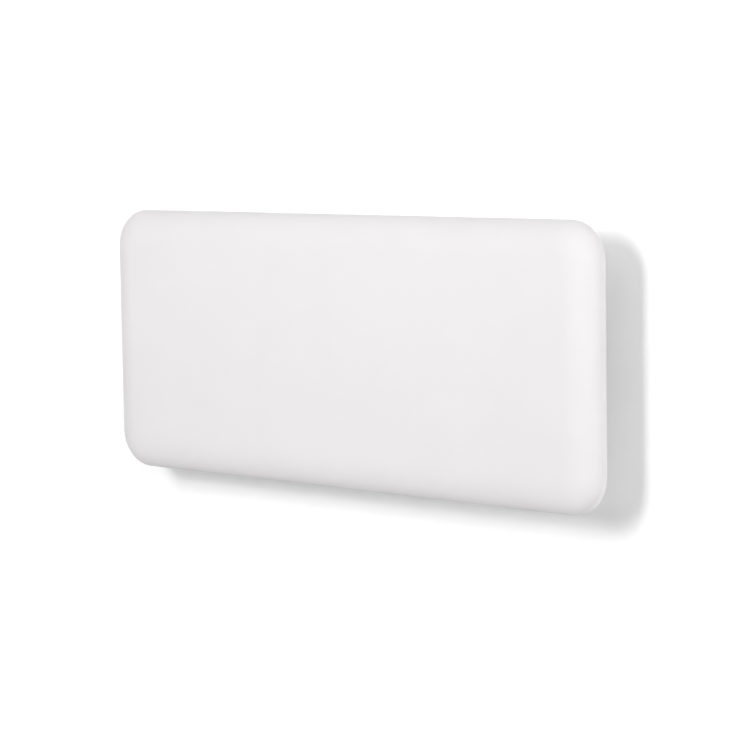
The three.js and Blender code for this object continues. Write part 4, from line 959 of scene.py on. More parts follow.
@dataclass
class WallBracket:
    """The folded wall bracket: two uprights with hooks, a crossbar, liners, buffers and spring catches."""

    sheet: float = 1.5 * MM
    bend: float = 2 * MM
    gap: float = 0.3 * MM
    flange: float = 26 * MM
    web: float = 18 * MM
    chamfer: float = 4 * MM
    tongue: float = 8 * MM
    lip: float = 2.5 * MM
    lip_height: float = 9 * MM
    tip: float = 1 * MM
    window: Point = (7 * MM, 58 * MM)
    window_rise: float = 50 * MM
    wall_slot: Point = (5.5 * MM, 14 * MM)
    slot_rise: float = 56 * MM
    bar_slot: Point = (16 * MM, 5.5 * MM)
    bar_slot_across: float = 92 * MM
    overlap: float = 18 * MM
    joggle: float = 5 * MM
    rivet_radius: float = 2.6 * MM
    rivet_height: float = 1 * MM
    rivet_rise: float = 18 * MM
    rivet_sink: float = 0.03 * MM
    liner_top: float = 1.2 * MM
    liner_cheek: float = 1.2 * MM
    buffer_wall: float = 2.2 * MM
    buffer_grip: float = 5 * MM
    buffer_ribs: int = 5
    buffer_flute: float = 0.44 * MM
    spring: float = 0.8 * MM
    spring_root: float = 26 * MM
    spring_valley: float = 1 * MM
    spring_crest: float = 3.4 * MM
    crest_bend: float = 2.38 * MM
    crest_reach: float = 3.2 * MM
    nose_reach: float = 4.25 * MM
    nose_drop: float = 2.6 * MM
    catch_rivet_rise: float = 10.4 * MM
    case_floor: float = -21 * MM
    overrun: float = 6 * MM
    edge: float = 0.2 * MM
    slot_steps: int = 8
    toe_steps: int = 6
    throat_steps: int = 4
    corner_steps: int = 4
    flute_steps: int = 12
    crest_steps: int = 6
    rivet_steps: int = 24
    dome_steps: int = 6

    def side_outline(self) -> list[Point]:
        """An upright's outline seen from the side, in Y and Z, with the hook at its foot.

        Returns:
            The outline's points.
        """
        box = NodeBox("bracket_upright_right")
        end, toe, top = box.low.y, box.low.z, box.high.z
        foot = toe + self.chamfer
        tongue_top = foot + self.tongue
        crown = (end + self.lip / 2, tongue_top + self.lip_height - self.lip / 2)
        throat = (end + self.lip + self.tip, tongue_top + self.tip)
        return [
            (0, top), (0, toe), (-self.chamfer, toe), (-2 * self.chamfer, foot),
            *arc((end + self.lip, foot + self.lip), self.lip, 270, 180, self.toe_steps),
            *arc(crown, self.lip / 2, 180, 0, self.slot_steps),
            *arc(throat, self.tip, 180, 270, self.throat_steps),
            (-self.web, tongue_top), (-self.web, top - self.chamfer), (-self.web + self.chamfer, top),
        ]

    def upright(self, hand: str) -> None:
        """Builds one upright.

        Args:
            hand: Which one, left or right.
        """
        box, half = NodeBox("bracket_upright_right"), self.sheet / 2
        x, low, high = box.high.x - half, box.low, box.high
        line = [(x - self.flange, -half), (x, -half), (x, low.y - self.overrun)]
        strip = Form().prism(folded_section(line, self.sheet, self.bend), low.z, high.z, Axis.Z)
        side = Form().prism(self.side_outline(), x - self.flange - self.overrun, x + self.overrun, Axis.X)
        tool = Form()
        for sign in (-1, 1):
            window_spot = (-(self.web + self.sheet) / 2, sign * self.window_rise)
            tool.punch(round_ended(self.window, self.slot_steps, window_spot), x, self.overrun, Axis.X)
            slot_spot = (x - self.flange / 2, sign * self.slot_rise)
            tool.punch(round_ended(self.wall_slot, self.slot_steps, slot_spot), 0, self.overrun, Axis.Y)
        form = strip.combined(side, "INTERSECT").cut(tool)
        if hand == "left":
            form.mirrored_in_x()
        form.piece(f"upright_{hand}", Finish.ZINC_STEEL, Body.BRACKET, [f"bracket_upright_{hand}"], self.edge)

    def rivet(self, name: str, place: Point) -> None:
        """Builds a rivet's domed head.

        Args:
            name: The piece's name.
            place: The middle of its flat side.
        """
        angles = [math.pi / 2 * i / self.dome_steps for i in range(1, self.dome_steps)]
        flank = [(self.rivet_radius * math.cos(a), self.rivet_height * math.sin(a)) for a in angles]
        profile = [(0, 0), (self.rivet_radius, 0), *flank, (0, self.rivet_height)]
        Form().turned(profile, Axis.Y, place, self.rivet_steps).piece(name, Finish.ZINC_STEEL, Body.BRACKET)

    def crossbar(self) -> None:
        """Builds the crossbar with its domed rivets."""
        box = NodeBox("bracket_crossbar")
        half, step, end = self.sheet / 2, self.sheet + self.gap, box.high.x
        inner = end - self.overlap
        line = [(end, -half - step), (inner - step, -half - step), (inner - self.joggle - self.sheet, -half)]
        line += [(-x, y) for x, y in reversed(line)]
        bar = Form().prism(folded_section(line, self.sheet, self.sheet), box.low.z, box.high.z, Axis.Z)
        tool = Form()
        for across in (-self.bar_slot_across, self.bar_slot_across):
            tool.punch(round_ended(self.bar_slot, self.slot_steps, (across, 0)), 0, self.overrun, Axis.Y)
        bar.cut(tool).piece("crossbar", Finish.ZINC_STEEL, Body.BRACKET, ["bracket_crossbar"], self.edge)
        rivet_x, face = inner + self.overlap / 2, step + self.sheet - self.rivet_sink
        places = [(x, -face, z) for x in (-rivet_x, rivet_x) for z in (-self.rivet_rise, self.rivet_rise)]
        for i, place in enumerate(places, 1):
            self.rivet(f"rivet_{i}", place)

    def liner(self, hand: str) -> None:
        """Builds the plastic saddle on a hook.

        Args:
            hand: Which one, left or right.
        """
        box, corner = NodeBox(f"hook_liner_{hand}"), self.liner_cheek / 2
        outline = rounded(*box.size.xz, corner, self.corner_steps, box.middle.xz)
        block = Form().prism(outline, -box.high.y, -box.low.y, Axis.Y)
        left, right = (box.middle.x + s * (box.size.x / 2 - self.liner_cheek) for s in (-1, 1))
        foot, top = box.low.z - corner, box.high.z - self.liner_top
        mouth = [(left, foot), (right, foot), (right, top), (left, top)]
        groove = Form().prism(mouth, -box.high.y - corner, -box.low.y + corner, Axis.Y)
        name = f"hook_liner_{hand}"
        block.cut(groove).piece(f"liner_{hand}", Finish.WHITE_PLASTIC, Body.BRACKET, [name], self.edge / 2)

    def buffer(self, hand: str) -> None:
        """Builds the ribbed rubber buffer on a web's front edge.

        Args:
            hand: Which one, left or right.
        """
        box = NodeBox(f"buffer_{hand}")
        low, high, middle = box.low, box.high, box.middle
        outline = rounded(*box.size.xy, self.buffer_wall / 2, self.corner_steps, middle.xy)
        block = Form().prism(outline, low.z, high.z, Axis.Z)
        left, right = low.x + self.buffer_wall, high.x - self.buffer_wall
        front, back = high.y - self.buffer_grip, high.y + self.overrun
        mouth = [(left, front), (right, front), (right, back), (left, back)]
        tool = Form().prism(mouth, low.z - self.overrun, high.z + self.overrun, Axis.Z)
        for z in spaced(self.buffer_ribs, box.size.z / self.buffer_ribs, middle.z):
            for x in (low.x, high.x):
                flute = disc(self.buffer_flute, self.flute_steps, (x, z))
                tool.prism(flute, -high.y - self.overrun, -low.y + self.overrun, Axis.Y)
        block.cut(tool).piece(f"rest_{hand}", Finish.RUBBER, Body.BRACKET, [f"buffer_{hand}"], self.edge)

    def catch(self, hand: str) -> None:
        """Builds a spring catch and its rivet.

        Args:
            hand: Which one, left or right.
        """
        box, half = NodeBox(f"catch_spring_{hand}"), self.spring / 2
        root = -self.sheet - self.gap - half
        leaf = box.low.z + self.spring_root
        front = self.case_floor - self.gap
        crest = front - self.crest_reach
        line = [
            (root, box.low.z), (root, leaf), (front + self.sheet, leaf), (front, leaf - self.spring_valley),
            (crest, leaf + self.spring_crest), (crest - self.nose_reach, leaf - self.nose_drop),
        ]
        section = folded_section(line, self.spring, self.crest_bend, self.crest_steps)
        form = Form().prism(section, box.low.x, box.high.x, Axis.X)
        name = f"catch_spring_{hand}"
        form.piece(f"catch_{hand}", Finish.SPRING_STEEL, Body.BRACKET, [name], self.edge / 2)
        face = root - half + self.rivet_sink
        self.rivet(f"catch_rivet_{hand}", (box.middle.x, face, box.low.z + self.catch_rivet_rise))

    def build(self) -> None:
        """Builds the bracket's pieces."""
        self.crossbar()
        for hand in HANDS:
            for step in (self.upright, self.liner, self.buffer, self.catch):
                step(hand)


@dataclass
class ControlPack:
    """The controls on the case's right side: fascia, window, push buttons and mains rocker."""

    plate: float = 2 * MM
    corner: float = 4 * MM
    rim: float = 1.5 * MM
    rim_inset: float = 2.4 * MM
    gap: float = 0.3 * MM
    edge: float = 0.3 * MM
    pane_edge: float = 0.25 * MM
    window_corner: float = 1.5 * MM
    window_flange: float = 1.3 * MM
    pane_flange: float = 1.1 * MM
    figure_bar: Point = (3.4 * MM, 0.6 * MM)
    figure_step: float = 4.4 * MM
    figure_across: float = 2.9 * MM
    figure_side: float = 2.2 * MM
    button: float = 4 * MM
    button_hole: float = 4.4 * MM
    button_flange: float = 5.4 * MM
    button_collar: float = 1.2 * MM
    button_tail: float = 2 * MM
    dish: float = 0.5 * MM
    dish_depth: float = 0.45 * MM
    dish_shares: Point = (0.75, 0.55, 0.35, 0.15)
    sign_root: float = 0.9 * MM
    stroke_sink: float = 0.33 * MM
    ring_sink: float = 0.3 * MM
    sign_ring: Point = (1.5 * MM, 1.15 * MM)
    rocker_opening: Point = (12.6 * MM, 21.2 * MM)
    opening_corner: float = 1 * MM
    rocker_well: Point = (9.4 * MM, 18 * MM)
    well_corner: float = 0.4 * MM
    rocker_rim: float = 1.3 * MM
    rocker_floor: float = 1.4 * MM
    rocker_sink: float = 1.6 * MM
    rocker_axle: float = 1 * MM
    axle_stub: float = 1 * MM
    rocker_reach: float = 8.7 * MM
    rocker_edge: float = 2.9 * MM
    rocker_valley: float = 1 * MM
    rocker_width: float = 8.8 * MM
    rocker_rest: float = 9.0
    mark_rise: float = 4.6 * MM
    mark_line: Point = (0.6 * MM, 3.2 * MM)
    mark_ring: Point = (1.5 * MM, 1 * MM)
    mark_root: float = 0.3 * MM
    mark_proud: float = 0.06 * MM
    overrun: float = 6 * MM
    plate_steps: int = 10
    round_steps: int = 6
    small_steps: int = 4
    tiny_steps: int = 3
    hidden_steps: int = 2
    button_steps: int = 40
    cap_steps: int = 5
    ring_steps: int = 32
    axle_steps: int = 16
    key_steps: int = 10

    def fascia(self) -> None:
        """Builds the fascia plate with its rim, its openings and its broken edges."""
        box = NodeBox("control_fascia")
        low, high, middle = box.low, box.high, box.middle.yz
        size, face = box.size.yz, high.x - self.plate
        outer = [side - 2 * self.rim_inset for side in size]
        inner = [side - 2 * self.rim for side in outer]
        form = Form().prism(rounded(*size, self.corner, self.plate_steps, middle), face, high.x, Axis.X)
        skirt_outline = rounded(*outer, self.plate, self.round_steps, middle)
        skirt = Form().prism(skirt_outline, low.x, face + self.gap / 2, Axis.X)
        hollow = rounded(*inner, self.gap, self.hidden_steps, middle)
        form.joined(skirt.cut(Form().prism(hollow, low.x - self.gap, face, Axis.X)))
        window, rocker = NodeBox("display_window"), NodeBox("rocker_frame")
        pane = [side - 2 * self.window_flange for side in window.size.yz]
        outlines = [rounded(*pane, self.window_corner, self.round_steps, window.middle.yz)]
        for body in BUTTON_SIGNS:
            place = NodeBox(body.value).middle.yz
            outlines.append(disc(self.button_hole, self.button_steps, place))
        place = rocker.middle.yz
        outlines.append(rounded(*self.rocker_opening, self.opening_corner, self.small_steps, place))
        tool = Form()
        for outline in outlines:
            tool.prism(outline, face - self.overrun, high.x + self.overrun, Axis.X)
        form.cut(tool).piece("fascia", Finish.WHITE_PLASTIC, Body.HEATER, ["control_fascia"], self.edge)

    def window(self) -> None:
        """Builds the smoked pane and the unlit figures behind it."""
        box = NodeBox("display_window")
        low, high, middle = box.low.x, box.high.x, box.middle.yz
        pane = [side - 2 * (self.window_flange + self.gap) for side in box.size.yz]
        back = rounded(*box.size.yz, self.window_corner, self.small_steps, middle)
        front = rounded(*pane, self.window_corner, self.round_steps, middle)
        form = Form().prism(back, low, low + self.pane_flange, Axis.X)
        form.joined(Form().prism(front, low + self.gap, high, Axis.X))
        form.piece("display_pane", Finish.SMOKED_WINDOW, Body.HEATER, ["display_window"], self.pane_edge)
        bar, step, side = self.figure_bar, self.figure_step, self.figure_side
        strokes = [(bar, 0, rise) for rise in (-step, 0, step)]
        strokes += [(bar[::-1], across, rise) for across in (-side, side) for rise in (-step / 2, step / 2)]
        figures = Form()
        for figure in (-self.figure_across, self.figure_across):
            for shape, across, rise in strokes:
                outline = round_ended(shape, self.tiny_steps, (middle[0] + figure + across, middle[1] + rise))
                figures.prism(outline, high - bar[1], high + self.mark_proud, Axis.X)
        figures.piece("display_figures", Finish.UNLIT_FIGURE, Body.HEATER)

    def ring(self, radii: Point, low: float, high: float, place: Point) -> Form:
        """A raised ring with an outer and an inner radius, between two levels."""
        profile = [(radii[0], low), (radii[0], high), (radii[1], high), (radii[1], low)]
        return Form().turned(profile, Axis.X, place, self.ring_steps)

    def push_button(self, body: Body, sign: Sign) -> None:
        """Builds a push button with a dished cap and its sign.

        Args:
            body: The body it rides on, which has the node's name too.
            sign: The sign on its cap.
        """
        box = NodeBox(body.value)
        low, high, middle = box.low.x, box.high.x, box.middle.yz
        back = NodeBox("control_fascia").high.x - self.plate - self.gap
        collar = back - self.button_collar
        roll = arc((self.button - self.dish, high - self.dish), self.dish, 0, 90, self.cap_steps)
        dish = [(self.button * share, high - self.dish_depth * (1 - share ** 2)) for share in self.dish_shares]
        profile = [
            (0, low), (self.button_tail, low), (self.button_tail, collar), (self.button_flange, collar),
            (self.button_flange, back), (self.button, back), *roll, *dish, (0, high - self.dish_depth),
        ]
        form = Form().turned(profile, Axis.X, (0, *middle), self.button_steps)
        form.piece(f"{body.value}_cap", Finish.WHITE_PLASTIC, body, [body.value])
        strokes, has_ring = sign.value
        root = high - self.sign_root
        mark = self.ring(self.sign_ring, root, high - self.ring_sink, (0, *middle)) if has_ring else Form()
        for stroke in strokes:
            mark.prism(round_ended(stroke, self.small_steps, middle), root, high - self.stroke_sink, Axis.X)
        mark.piece(f"{body.value}_sign", Finish.SIGN_GREY, body)

    def rocker_frame(self) -> None:
        """Builds the rocker's frame: a rim outside the fascia and a closed body behind it."""
        box = NodeBox("rocker_frame")
        low, high, middle = box.low.x, box.high.x, box.middle.yz
        outer = [side - 2 * self.gap for side in self.rocker_opening]
        rim = [side + 2 * self.rocker_rim for side in self.rocker_opening]
        seat = NodeBox("control_fascia").high.x + self.gap
        form = Form().prism(rounded(*rim, self.opening_corner, self.round_steps, middle), seat, high, Axis.X)
        body = rounded(*outer, self.well_corner, self.tiny_steps, middle)
        form.joined(Form().prism(body, low, seat + self.gap, Axis.X))
        well = rounded(*self.rocker_well, self.well_corner, self.tiny_steps, middle)
        form.cut(Form().prism(well, low + self.rocker_floor, high + self.overrun, Axis.X))
        axle = disc(self.rocker_axle + self.gap, self.axle_steps, (high - self.rocker_sink, middle[1]))
        form.cut(Form().punch(axle, -middle[0], self.rocker_width, Axis.Y))
        form.piece("switch_frame", Finish.BLACK_PLASTIC, Body.HEATER, ["rocker_frame"], self.edge)

    def rocker(self) -> None:
        """Builds the mains rocker, tipped to its rest, with a line and a ring on its faces."""
        box = NodeBox("rocker_frame")
        pivot = Vector((box.high.x - self.rocker_sink, box.middle.y, box.middle.z))
        lift = math.asin(self.rocker_edge / self.rocker_reach)
        height = self.rocker_reach * math.cos(lift)
        ends = (90 - math.degrees(lift), 90 + math.degrees(lift))
        upper = arc((0, 0), self.rocker_reach, *ends, self.key_steps)
        outline = [Vector((self.rocker_valley, 0)), *upper, *(Vector((p.x, -p.y)) for p in reversed(upper))]
        form = Form().punch(outline, 0, self.rocker_width / 2, Axis.Y, pivot)
        axle = disc(self.rocker_axle, self.axle_steps)
        form.joined(Form().punch(axle, 0, self.rocker_width / 2 + self.axle_stub, Axis.Y, pivot))
        form.tipped(self.rocker_rest, pivot)
        form.piece("rocker_key", Finish.BLACK_PLASTIC, Body.ROCKER, ["mains_rocker"], self.edge)
        climb = self.rocker_edge - self.rocker_valley
        slope = math.degrees(math.atan2(climb, height))
        depth = pivot.x + self.rocker_valley + climb * self.mark_rise / height
        on, off = ((depth, pivot.y, pivot.z + side * self.mark_rise) for side in (1, -1))
        line = Form().prism(
            round_ended(self.mark_line, self.small_steps), -self.mark_root, self.mark_proud, Axis.X, on,
        )
        line.tipped(slope, on).tipped(self.rocker_rest, pivot)
        line.piece("rocker_on_line", Finish.WHITE_PLASTIC, Body.ROCKER)
        ring = self.ring(self.mark_ring, -self.mark_root, self.mark_proud, off)
        ring.tipped(-slope, off).tipped(self.rocker_rest, pivot)
        ring.piece("rocker_off_ring", Finish.WHITE_PLASTIC, Body.ROCKER)

    def build(self) -> None:
        """Builds the controls' outside."""
        self.fascia()
        self.window()
        for body, sign in BUTTON_SIGNS.items():
            self.push_button(body, sign)
        self.rocker_frame()
        self.rocker()


@dataclass
class CableGland:
    """The cord's gland under the case: a fluted collar, a tapered nose and a threaded neck with its nut."""

    bore: float = 4 * MM
    neck: float = 8 * MM
    flange: float = 11 * MM
    flange_sheet: float = 3 * MM
    seat_drop: float = 1.6 * MM
    nose: float = 6 * MM
    nose_swell: float = 1.4
    nose_rings: int = 5
    flutes: int = 20
    flute: float = 0.9 * MM
    flute_past: float = 0.2 * MM
    thread: float = 0.35 * MM
    pitch: float = 1.5 * MM
    nut: float = 11 * MM
    nut_sides: int = 6
    nut_gap: float = 0.3 * MM
    lead_in: float = 0.6 * MM
    edge: float = 0.12 * MM
    nut_edge: float = 0.5 * MM
    steps: int = 60
    lip_steps: int = 5
    flute_steps: int = 12
    hole_steps: int = 48

    def profile(self, low: float, seat: float, high: float) -> list[Point]:
        """The gland's profile.

        Args:
            low: The nose's end.
            seat: Where the collar meets the case.
            high: The neck's end.

        Returns:
            Points as radius and height.
        """
        soft, foot = self.lead_in, seat - self.flange_sheet
        nose_top = low + soft
        points = [(self.bore, nose_top), (self.bore + soft, low)]
        points += arc((self.nose - soft, nose_top), soft, -90, 0, self.lip_steps)
        for i in range(1, self.nose_rings + 1):
            share = i / self.nose_rings
            radius = self.nose + (self.neck - self.nose) * share ** self.nose_swell
            points.append((radius, nose_top + (foot - nose_top) * share))
        points += [(self.flange - soft, foot), (self.flange, foot + soft), (self.flange, seat - soft / 2)]
        points += [(self.flange - soft / 2, seat), (self.neck, seat)]
        for i in range(1, int((high - seat) / self.pitch)):
            start = seat + self.pitch * i
            points += [(self.neck, start), (self.neck - self.thread, start + self.pitch / 2)]
        return [*points, (self.neck, high - soft), (self.neck - soft, high), (self.bore, high)]

    def build(self) -> None:
        """Builds the gland and its nut."""
        box, nut_box = NodeBox("cable_gland"), NodeBox("gland_nut")
        middle = box.middle.xy
        seat = nut_box.low.z - self.seat_drop
        foot = seat - self.flange_sheet
        gland = Form().turned(self.profile(box.low.z, seat, box.high.z), Axis.Z, (*middle, 0), self.steps)
        tool = Form()
        reach = self.flange + self.flute / 2
        for i in range(self.flutes):
            angle = 2 * math.pi * i / self.flutes
            place = middle + reach * Vector((math.cos(angle), math.sin(angle)))
            outline = disc(self.flute, self.flute_steps, place)
            tool.prism(outline, foot - self.pitch, seat + self.flute_past, Axis.Z)
        gland.cut(tool).piece("gland_body", Finish.BLACK_PLASTIC, Body.HEATER, ["cable_gland"], self.edge)
        nut = Form().prism(disc(self.nut, self.nut_sides, middle), nut_box.low.z, nut_box.high.z, Axis.Z)
        hole = disc(self.neck + self.nut_gap, self.hole_steps, middle)
        nut.cut(Form().prism(hole, nut_box.low.z - self.nut, nut_box.high.z + self.nut, Axis.Z))
        nut.piece("lock_nut", Finish.BLACK_PLASTIC, Body.HEATER, ["gland_nut"], self.nut_edge)


@dataclass
class RoundFittings:
    """The small turned pieces inside the case."""

    steps: int = 40
    bend_steps: int = 3
    bush_bore: float = 2.1 * MM
    bush_flange: Point = (8 * MM, 3 * MM)
    bush_body: Point = (6.5 * MM, 12 * MM)
    grommet_bore: float = 4.6 * MM
    grommet_lip: Point = (9 * MM, 1.8 * MM)
    grommet_waist: float = 7 * MM
    grommet_bend: float = 0.6 * MM
    can: Point = (5 * MM, 17 * MM)
    can_beads: tuple[float, float, float] = (2.4 * MM, 2.9 * MM, 3.4 * MM)
    can_waist: float = 4.7 * MM
    can_rim: float = 4 * MM
    can_lid: Point = (3.9 * MM, 16.8 * MM)
    bend: float = 0.5 * MM
    bead: Point = (2.4 * MM, 13 * MM)
    bead_end: float = 80.0
    bead_steps: int = 6

    def turn(self, node: str, axis: Axis, profile: Outline, flip: bool = False) -> None:
        """Replaces a node with a turned piece.

        Args:
            node: The node's name.
            axis: The axis of the turn.
            profile: Points as radius and height, from 0 to the whole length.
            flip: Whether the profile starts at the high end.
        """
        box, number = NodeBox(node), "XYZ".index(axis.name)
        start, end = sorted(axis.sign() * corner[number] for corner in (box.low, box.high))
        length = max(height for _, height in profile)
        shares = [(radius, height / length) for radius, height in profile]
        points = [(radius, start + (end - start) * (1 - share if flip else share)) for radius, share in shares]
        box.middle[number] = 0
        form = Form().turned(points, axis, box.middle, self.steps)
        form.piece(f"{node}_turned", NODE_FINISH[node], Body.HEATER, [node])

    def build(self) -> None:
        """Builds the bushes, the grommet, the capacitor and the air sensor."""
        bore, (flange, seat), (body, length) = self.bush_bore, self.bush_flange, self.bush_body
        bush = [(bore, 0), (flange, 0), (flange, seat), (body, seat), (body, length), (bore, length)]
        bush = line_with_bends(bush, self.bend, self.bend_steps)
        self.turn("element_bush_left", Axis.X, bush, flip=True)
        self.turn("element_bush_right", Axis.X, bush)
        bore, waist, (lip, sheet) = self.grommet_bore, self.grommet_waist, self.grommet_lip
        length = NodeBox("lead_grommet").size.x
        half = [(bore, 0), (lip, 0), (lip, sheet), (waist, sheet)]
        grommet = [*half, *((radius, length - height) for radius, height in reversed(half))]
        self.turn("lead_grommet", Axis.X, line_with_bends(grommet, self.grommet_bend, self.bend_steps))
        (body, top), (low, middle, high), lid = self.can, self.can_beads, self.can_lid
        can = [(0, 0), (body, 0), (body, low), (self.can_waist, middle), (body, high), (body, top)]
        can += [(self.can_rim, top), lid, (0, lid[1])]
        self.turn("capacitor", Axis.Z, line_with_bends(can, self.bend, self.bend_steps))
        radius, length = self.bead
        foot = arc((0, radius), radius, -self.bead_end, 0, self.bead_steps)
        crown = arc((0, length - radius), radius, 0, self.bead_end, self.bead_steps)
        self.turn("air_sensor", Axis.X, [(0, 0), *foot, *crown, (0, length)])


@dataclass
class CarriedNodes:
    """The CAD nodes whose shape is right: they get their finish, broken edges and blended faces."""

    edge: float = 0.2 * MM
    thin_edge: float = 0.1 * MM
    shared_within: float = 0.005 * MM
    lead_levels: int = 2
    end_angle: float = 75.0
    edge_angle: float = 40.0

    def build(self) -> None:
        """Dresses every CAD node that nothing stands for."""
        for name, node in frame["nodes"].items():
            if node.hide_render:
                continue
            node.data.materials.clear()
            node.data.materials.append(NODE_FINISH[name].material())
            # The CAD's triangles share no corners, so a bevel finds no edges until these are joined.
            node.modifiers.new("shared_corners", "WELD").merge_threshold = self.shared_within
            if name.startswith("lead_") and name != "lead_grommet":
                break_edges(node, "cut_ends", self.edge, self.end_angle, 1)
                step = node.modifiers.new("round", "SUBSURF")
                step.levels = step.render_levels = self.lead_levels
            else:
                thin = name.startswith(("fin_", "front_heat", "rear_reflector"))
                width, segments = (self.thin_edge, 1) if thin else (self.edge, 2)
                break_edges(node, "edges", width, self.edge_angle, segments)
                node.modifiers.new("shading", "WEIGHTED_NORMAL")
            LOG.info("dressed %s", name)


@dataclass(frozen=True)
class PhotoView:
    """The photograph's viewpoint, measured from the middle of the cover's face."""

    azimuth: float = 43.30
    elevation: float = 5.68
    roll: float = math.radians(-0.87)
    distance: float = 3613.15 * MM
    focal_pixels: float = 2704.24
    image_width: float = 750
    sensor: float = 36.0
    slide_right: float = -57.14 * MM
    slide_up: float = 28.37 * MM
    nearest: float = 0.05
    farthest: float = 60.0

    def build(self) -> None:
        """Makes the camera."""
        back = around(self.azimuth, self.elevation, 1.0)
        level = Vector((0, 0, 1)).cross(back).normalized()
        upright = back.cross(level)
        right = math.cos(self.roll) * level + math.sin(self.roll) * upright
        up = -math.sin(self.roll) * level + math.cos(self.roll) * upright
        cover = NodeBox("front_cover")
        face = Vector((cover.middle.x, cover.low.y, cover.middle.z))
        lens = bpy.data.cameras.new("photo_view")
        lens.sensor_width = self.sensor
        lens.lens = self.focal_pixels / self.image_width * self.sensor
        lens.clip_start, lens.clip_end = self.nearest, self.farthest
        camera = add_object("photo_view", lens)
        turn = Matrix((right, up, back)).transposed().to_4x4()
        centre = face - self.slide_right * right - self.slide_up * up + self.distance * back
        camera.matrix_world = Matrix.Translation(centre) @ turn
        bpy.context.scene.camera = camera


@dataclass(frozen=True)
class SoftLamp:
    """A square lamp that faces the heater: where it hangs, its side in metres and its power in watts."""

    name: str
    azimuth: float
    elevation: float
    distance: float
    size: float
    power: float
    aim: Point = (0, -0.04, 0)

    def build(self) -> None:
        """Hangs the lamp."""
        data = bpy.data.lights.new(self.name, "AREA")
        data.size = self.size
        data.energy = self.power
        made = add_object(self.name, data)
        made.location = around(self.azimuth, self.elevation, self.distance)
        made.rotation_euler = (Vector(self.aim) - made.location).to_track_quat("-Z", "Y").to_euler()


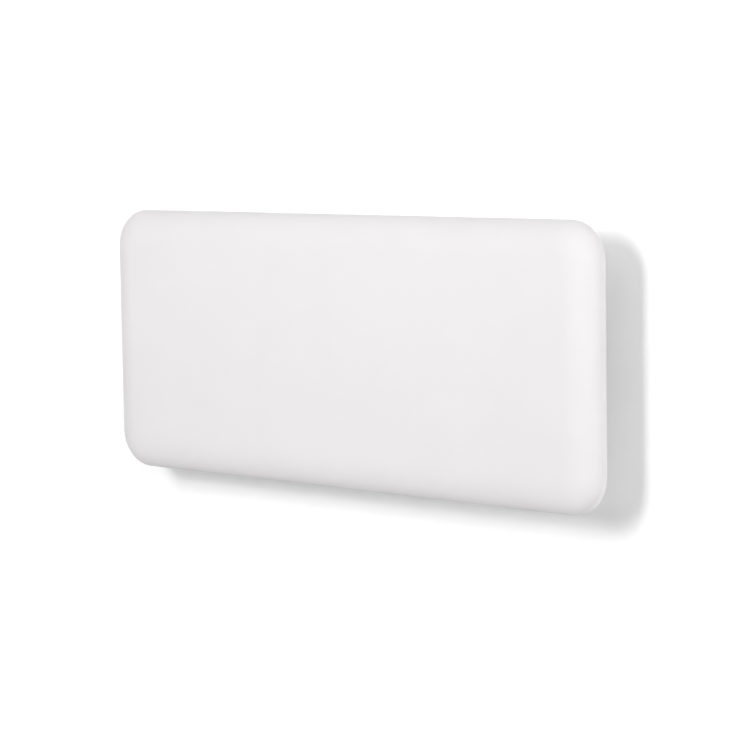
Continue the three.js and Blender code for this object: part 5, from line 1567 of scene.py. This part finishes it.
@dataclass
class Studio:
    """A pale floor, a white wall that shows only from the room's side, and soft lamps."""

    wall_colour: Colour = (0.92, 0.92, 0.92)
    # wall_lift and floor_lift are the painted glows near the heater that camera and glossy rays see.
    wall_lift: float = 0.125
    wall_half: float = 4.0
    wall_gap: float = 0.5 * MM
    floor_drop: float = 0.75
    shade_reach: float = 0.5
    white_reach: float = 1.1
    floor_half: float = 8.0
    floor_colour: Colour = (0.5, 0.5, 0.5)
    floor_lift: float = 0.7
    ambient: float = 0.016
    lamps: tuple[SoftLamp, ...] = (
        SoftLamp("left_low", -10, 12, 3.0, 0.9, 28.3),
        SoftLamp("left_high", -10, 25, 3.0, 0.9, 38.9),
        SoftLamp("front_low", 20, 0, 3.0, 1.4, 2.0),
        SoftLamp("right_side", 75, 0, 3.0, 1.4, 33.3),
        SoftLamp("right_near", 30, 40, 1.7, 1.0, 4.9),
        SoftLamp("behind", 180, 25, 3.0, 2.0, 14.0),
    )

    def dress(self, material: bpy.types.Material, colour: Colour, lift: float) -> None:
        """Gives a stage sheet a pale colour and a painted glow that grows away from the heater until the sheet
        is white, and makes it clear from behind.

        Args:
            material: The sheet's material.
            colour: Its colour.
            lift: The painted glow added for camera and glossy rays near the heater.
        """
        graph = NodeGraph(material)
        rays = graph.add("LightPath").outputs
        place = graph.add("TexCoord").outputs["Object"]
        away = graph.feed(graph.add("VectorMath", operation="LENGTH"), Vector=place).outputs["Value"]
        # A painted glow, seen by the camera and in reflections, grows with the distance from the heater until
        # the sheet is plain white.
        rise = graph.add("MapRange", interpolation_type="SMOOTHSTEP")
        graph.feed(rise, Value=away, From_Min=self.shade_reach, From_Max=self.white_reach, To_Min=lift)
        seen = graph.feed(graph.add("Math", operation="MAXIMUM"), rays["Is Camera Ray"], rays["Is Glossy Ray"])
        strength = graph.feed(graph.add("Math", operation="MULTIPLY"), seen.outputs[0], rise.outputs["Result"])
        diffuse = graph.feed(graph.add("BsdfDiffuse"), Color=(*colour, 1.0))
        glow = graph.feed(graph.add("Emission"), Color=(*WHITE, 1.0), Strength=strength.outputs[0])
        both = graph.feed(graph.add("AddShader"), diffuse.outputs[0], glow.outputs[0])
        # The sheet casts no shadow and can't be seen from its back, so a view from behind shows the heater.
        behind = graph.add("NewGeometry").outputs["Backfacing"]
        hidden = graph.feed(graph.add("Math", operation="MAXIMUM"), behind, rays["Is Shadow Ray"])
        clear = graph.add("BsdfTransparent")
        mix = graph.feed(graph.add("MixShader"), hidden.outputs[0], both.outputs[0], clear.outputs[0])
        graph.feed(graph.output, Surface=mix.outputs[0])

    def sheet(self, name: str, corners: Outline, colour: Colour, lift: float) -> None:
        """Adds a flat sheet of the stage.

        Args:
            name: Its name.
            corners: Its corners, anticlockwise from the side that shows.
            colour: Its colour.
            lift: The painted glow added for camera and glossy rays near the heater.
        """
        data = bpy.data.meshes.new(name)
        data.from_pydata(corners, [], [range(len(corners))])
        data.materials.append(bpy.data.materials.new(f"{name}_finish"))
        self.dress(data.materials[0], colour, lift)
        add_object(name, data)

    def world(self) -> None:
        """Makes the white room: even light, and white where the camera sees it."""
        world = bpy.data.worlds.new("white_room")
        graph = NodeGraph(world, "OutputWorld")
        strength = graph.spread(graph.add("LightPath").outputs["Is Camera Ray"], self.ambient, 1.0)
        glow = graph.feed(graph.add("Background"), Color=(*WHITE, 1.0), Strength=strength)
        graph.feed(graph.output, Surface=glow.outputs["Background"])
        bpy.context.scene.world = world

    def build(self) -> None:
        """Builds the stage and hangs the lamps."""
        half, back, foot = self.wall_half, self.wall_gap, -self.floor_drop
        wall = [(-half, back, foot), (half, back, foot), (half, back, half), (-half, back, half)]
        self.sheet("stage_wall", wall, self.wall_colour, self.wall_lift)
        half = self.floor_half
        floor = [(-half, -half, foot), (half, -half, foot), (half, half, foot), (-half, half, foot)]
        self.sheet("stage_floor", floor, self.floor_colour, self.floor_lift)
        for lamp in self.lamps:
            lamp.build()
        self.world()


def main() -> None:
    """Builds the camera, the heater's pieces and the studio, in order."""
    logging.basicConfig(level=logging.INFO, format="%(name)s: %(message)s")
    parts = (
        PhotoView(), FrontCover(), RearCase(), CoverScrews(), ControlPack(), CableGland(), RoundFittings(),
        WallBracket(), CarriedNodes(), Studio(),
    )
    for part in parts:
        part.build()
        LOG.info("finished %s", type(part).__name__)
    bpy.context.scene.view_settings.view_transform = "Standard"
    LOG.info("wrote the boxes")


if __name__ == "__main__":
    main()
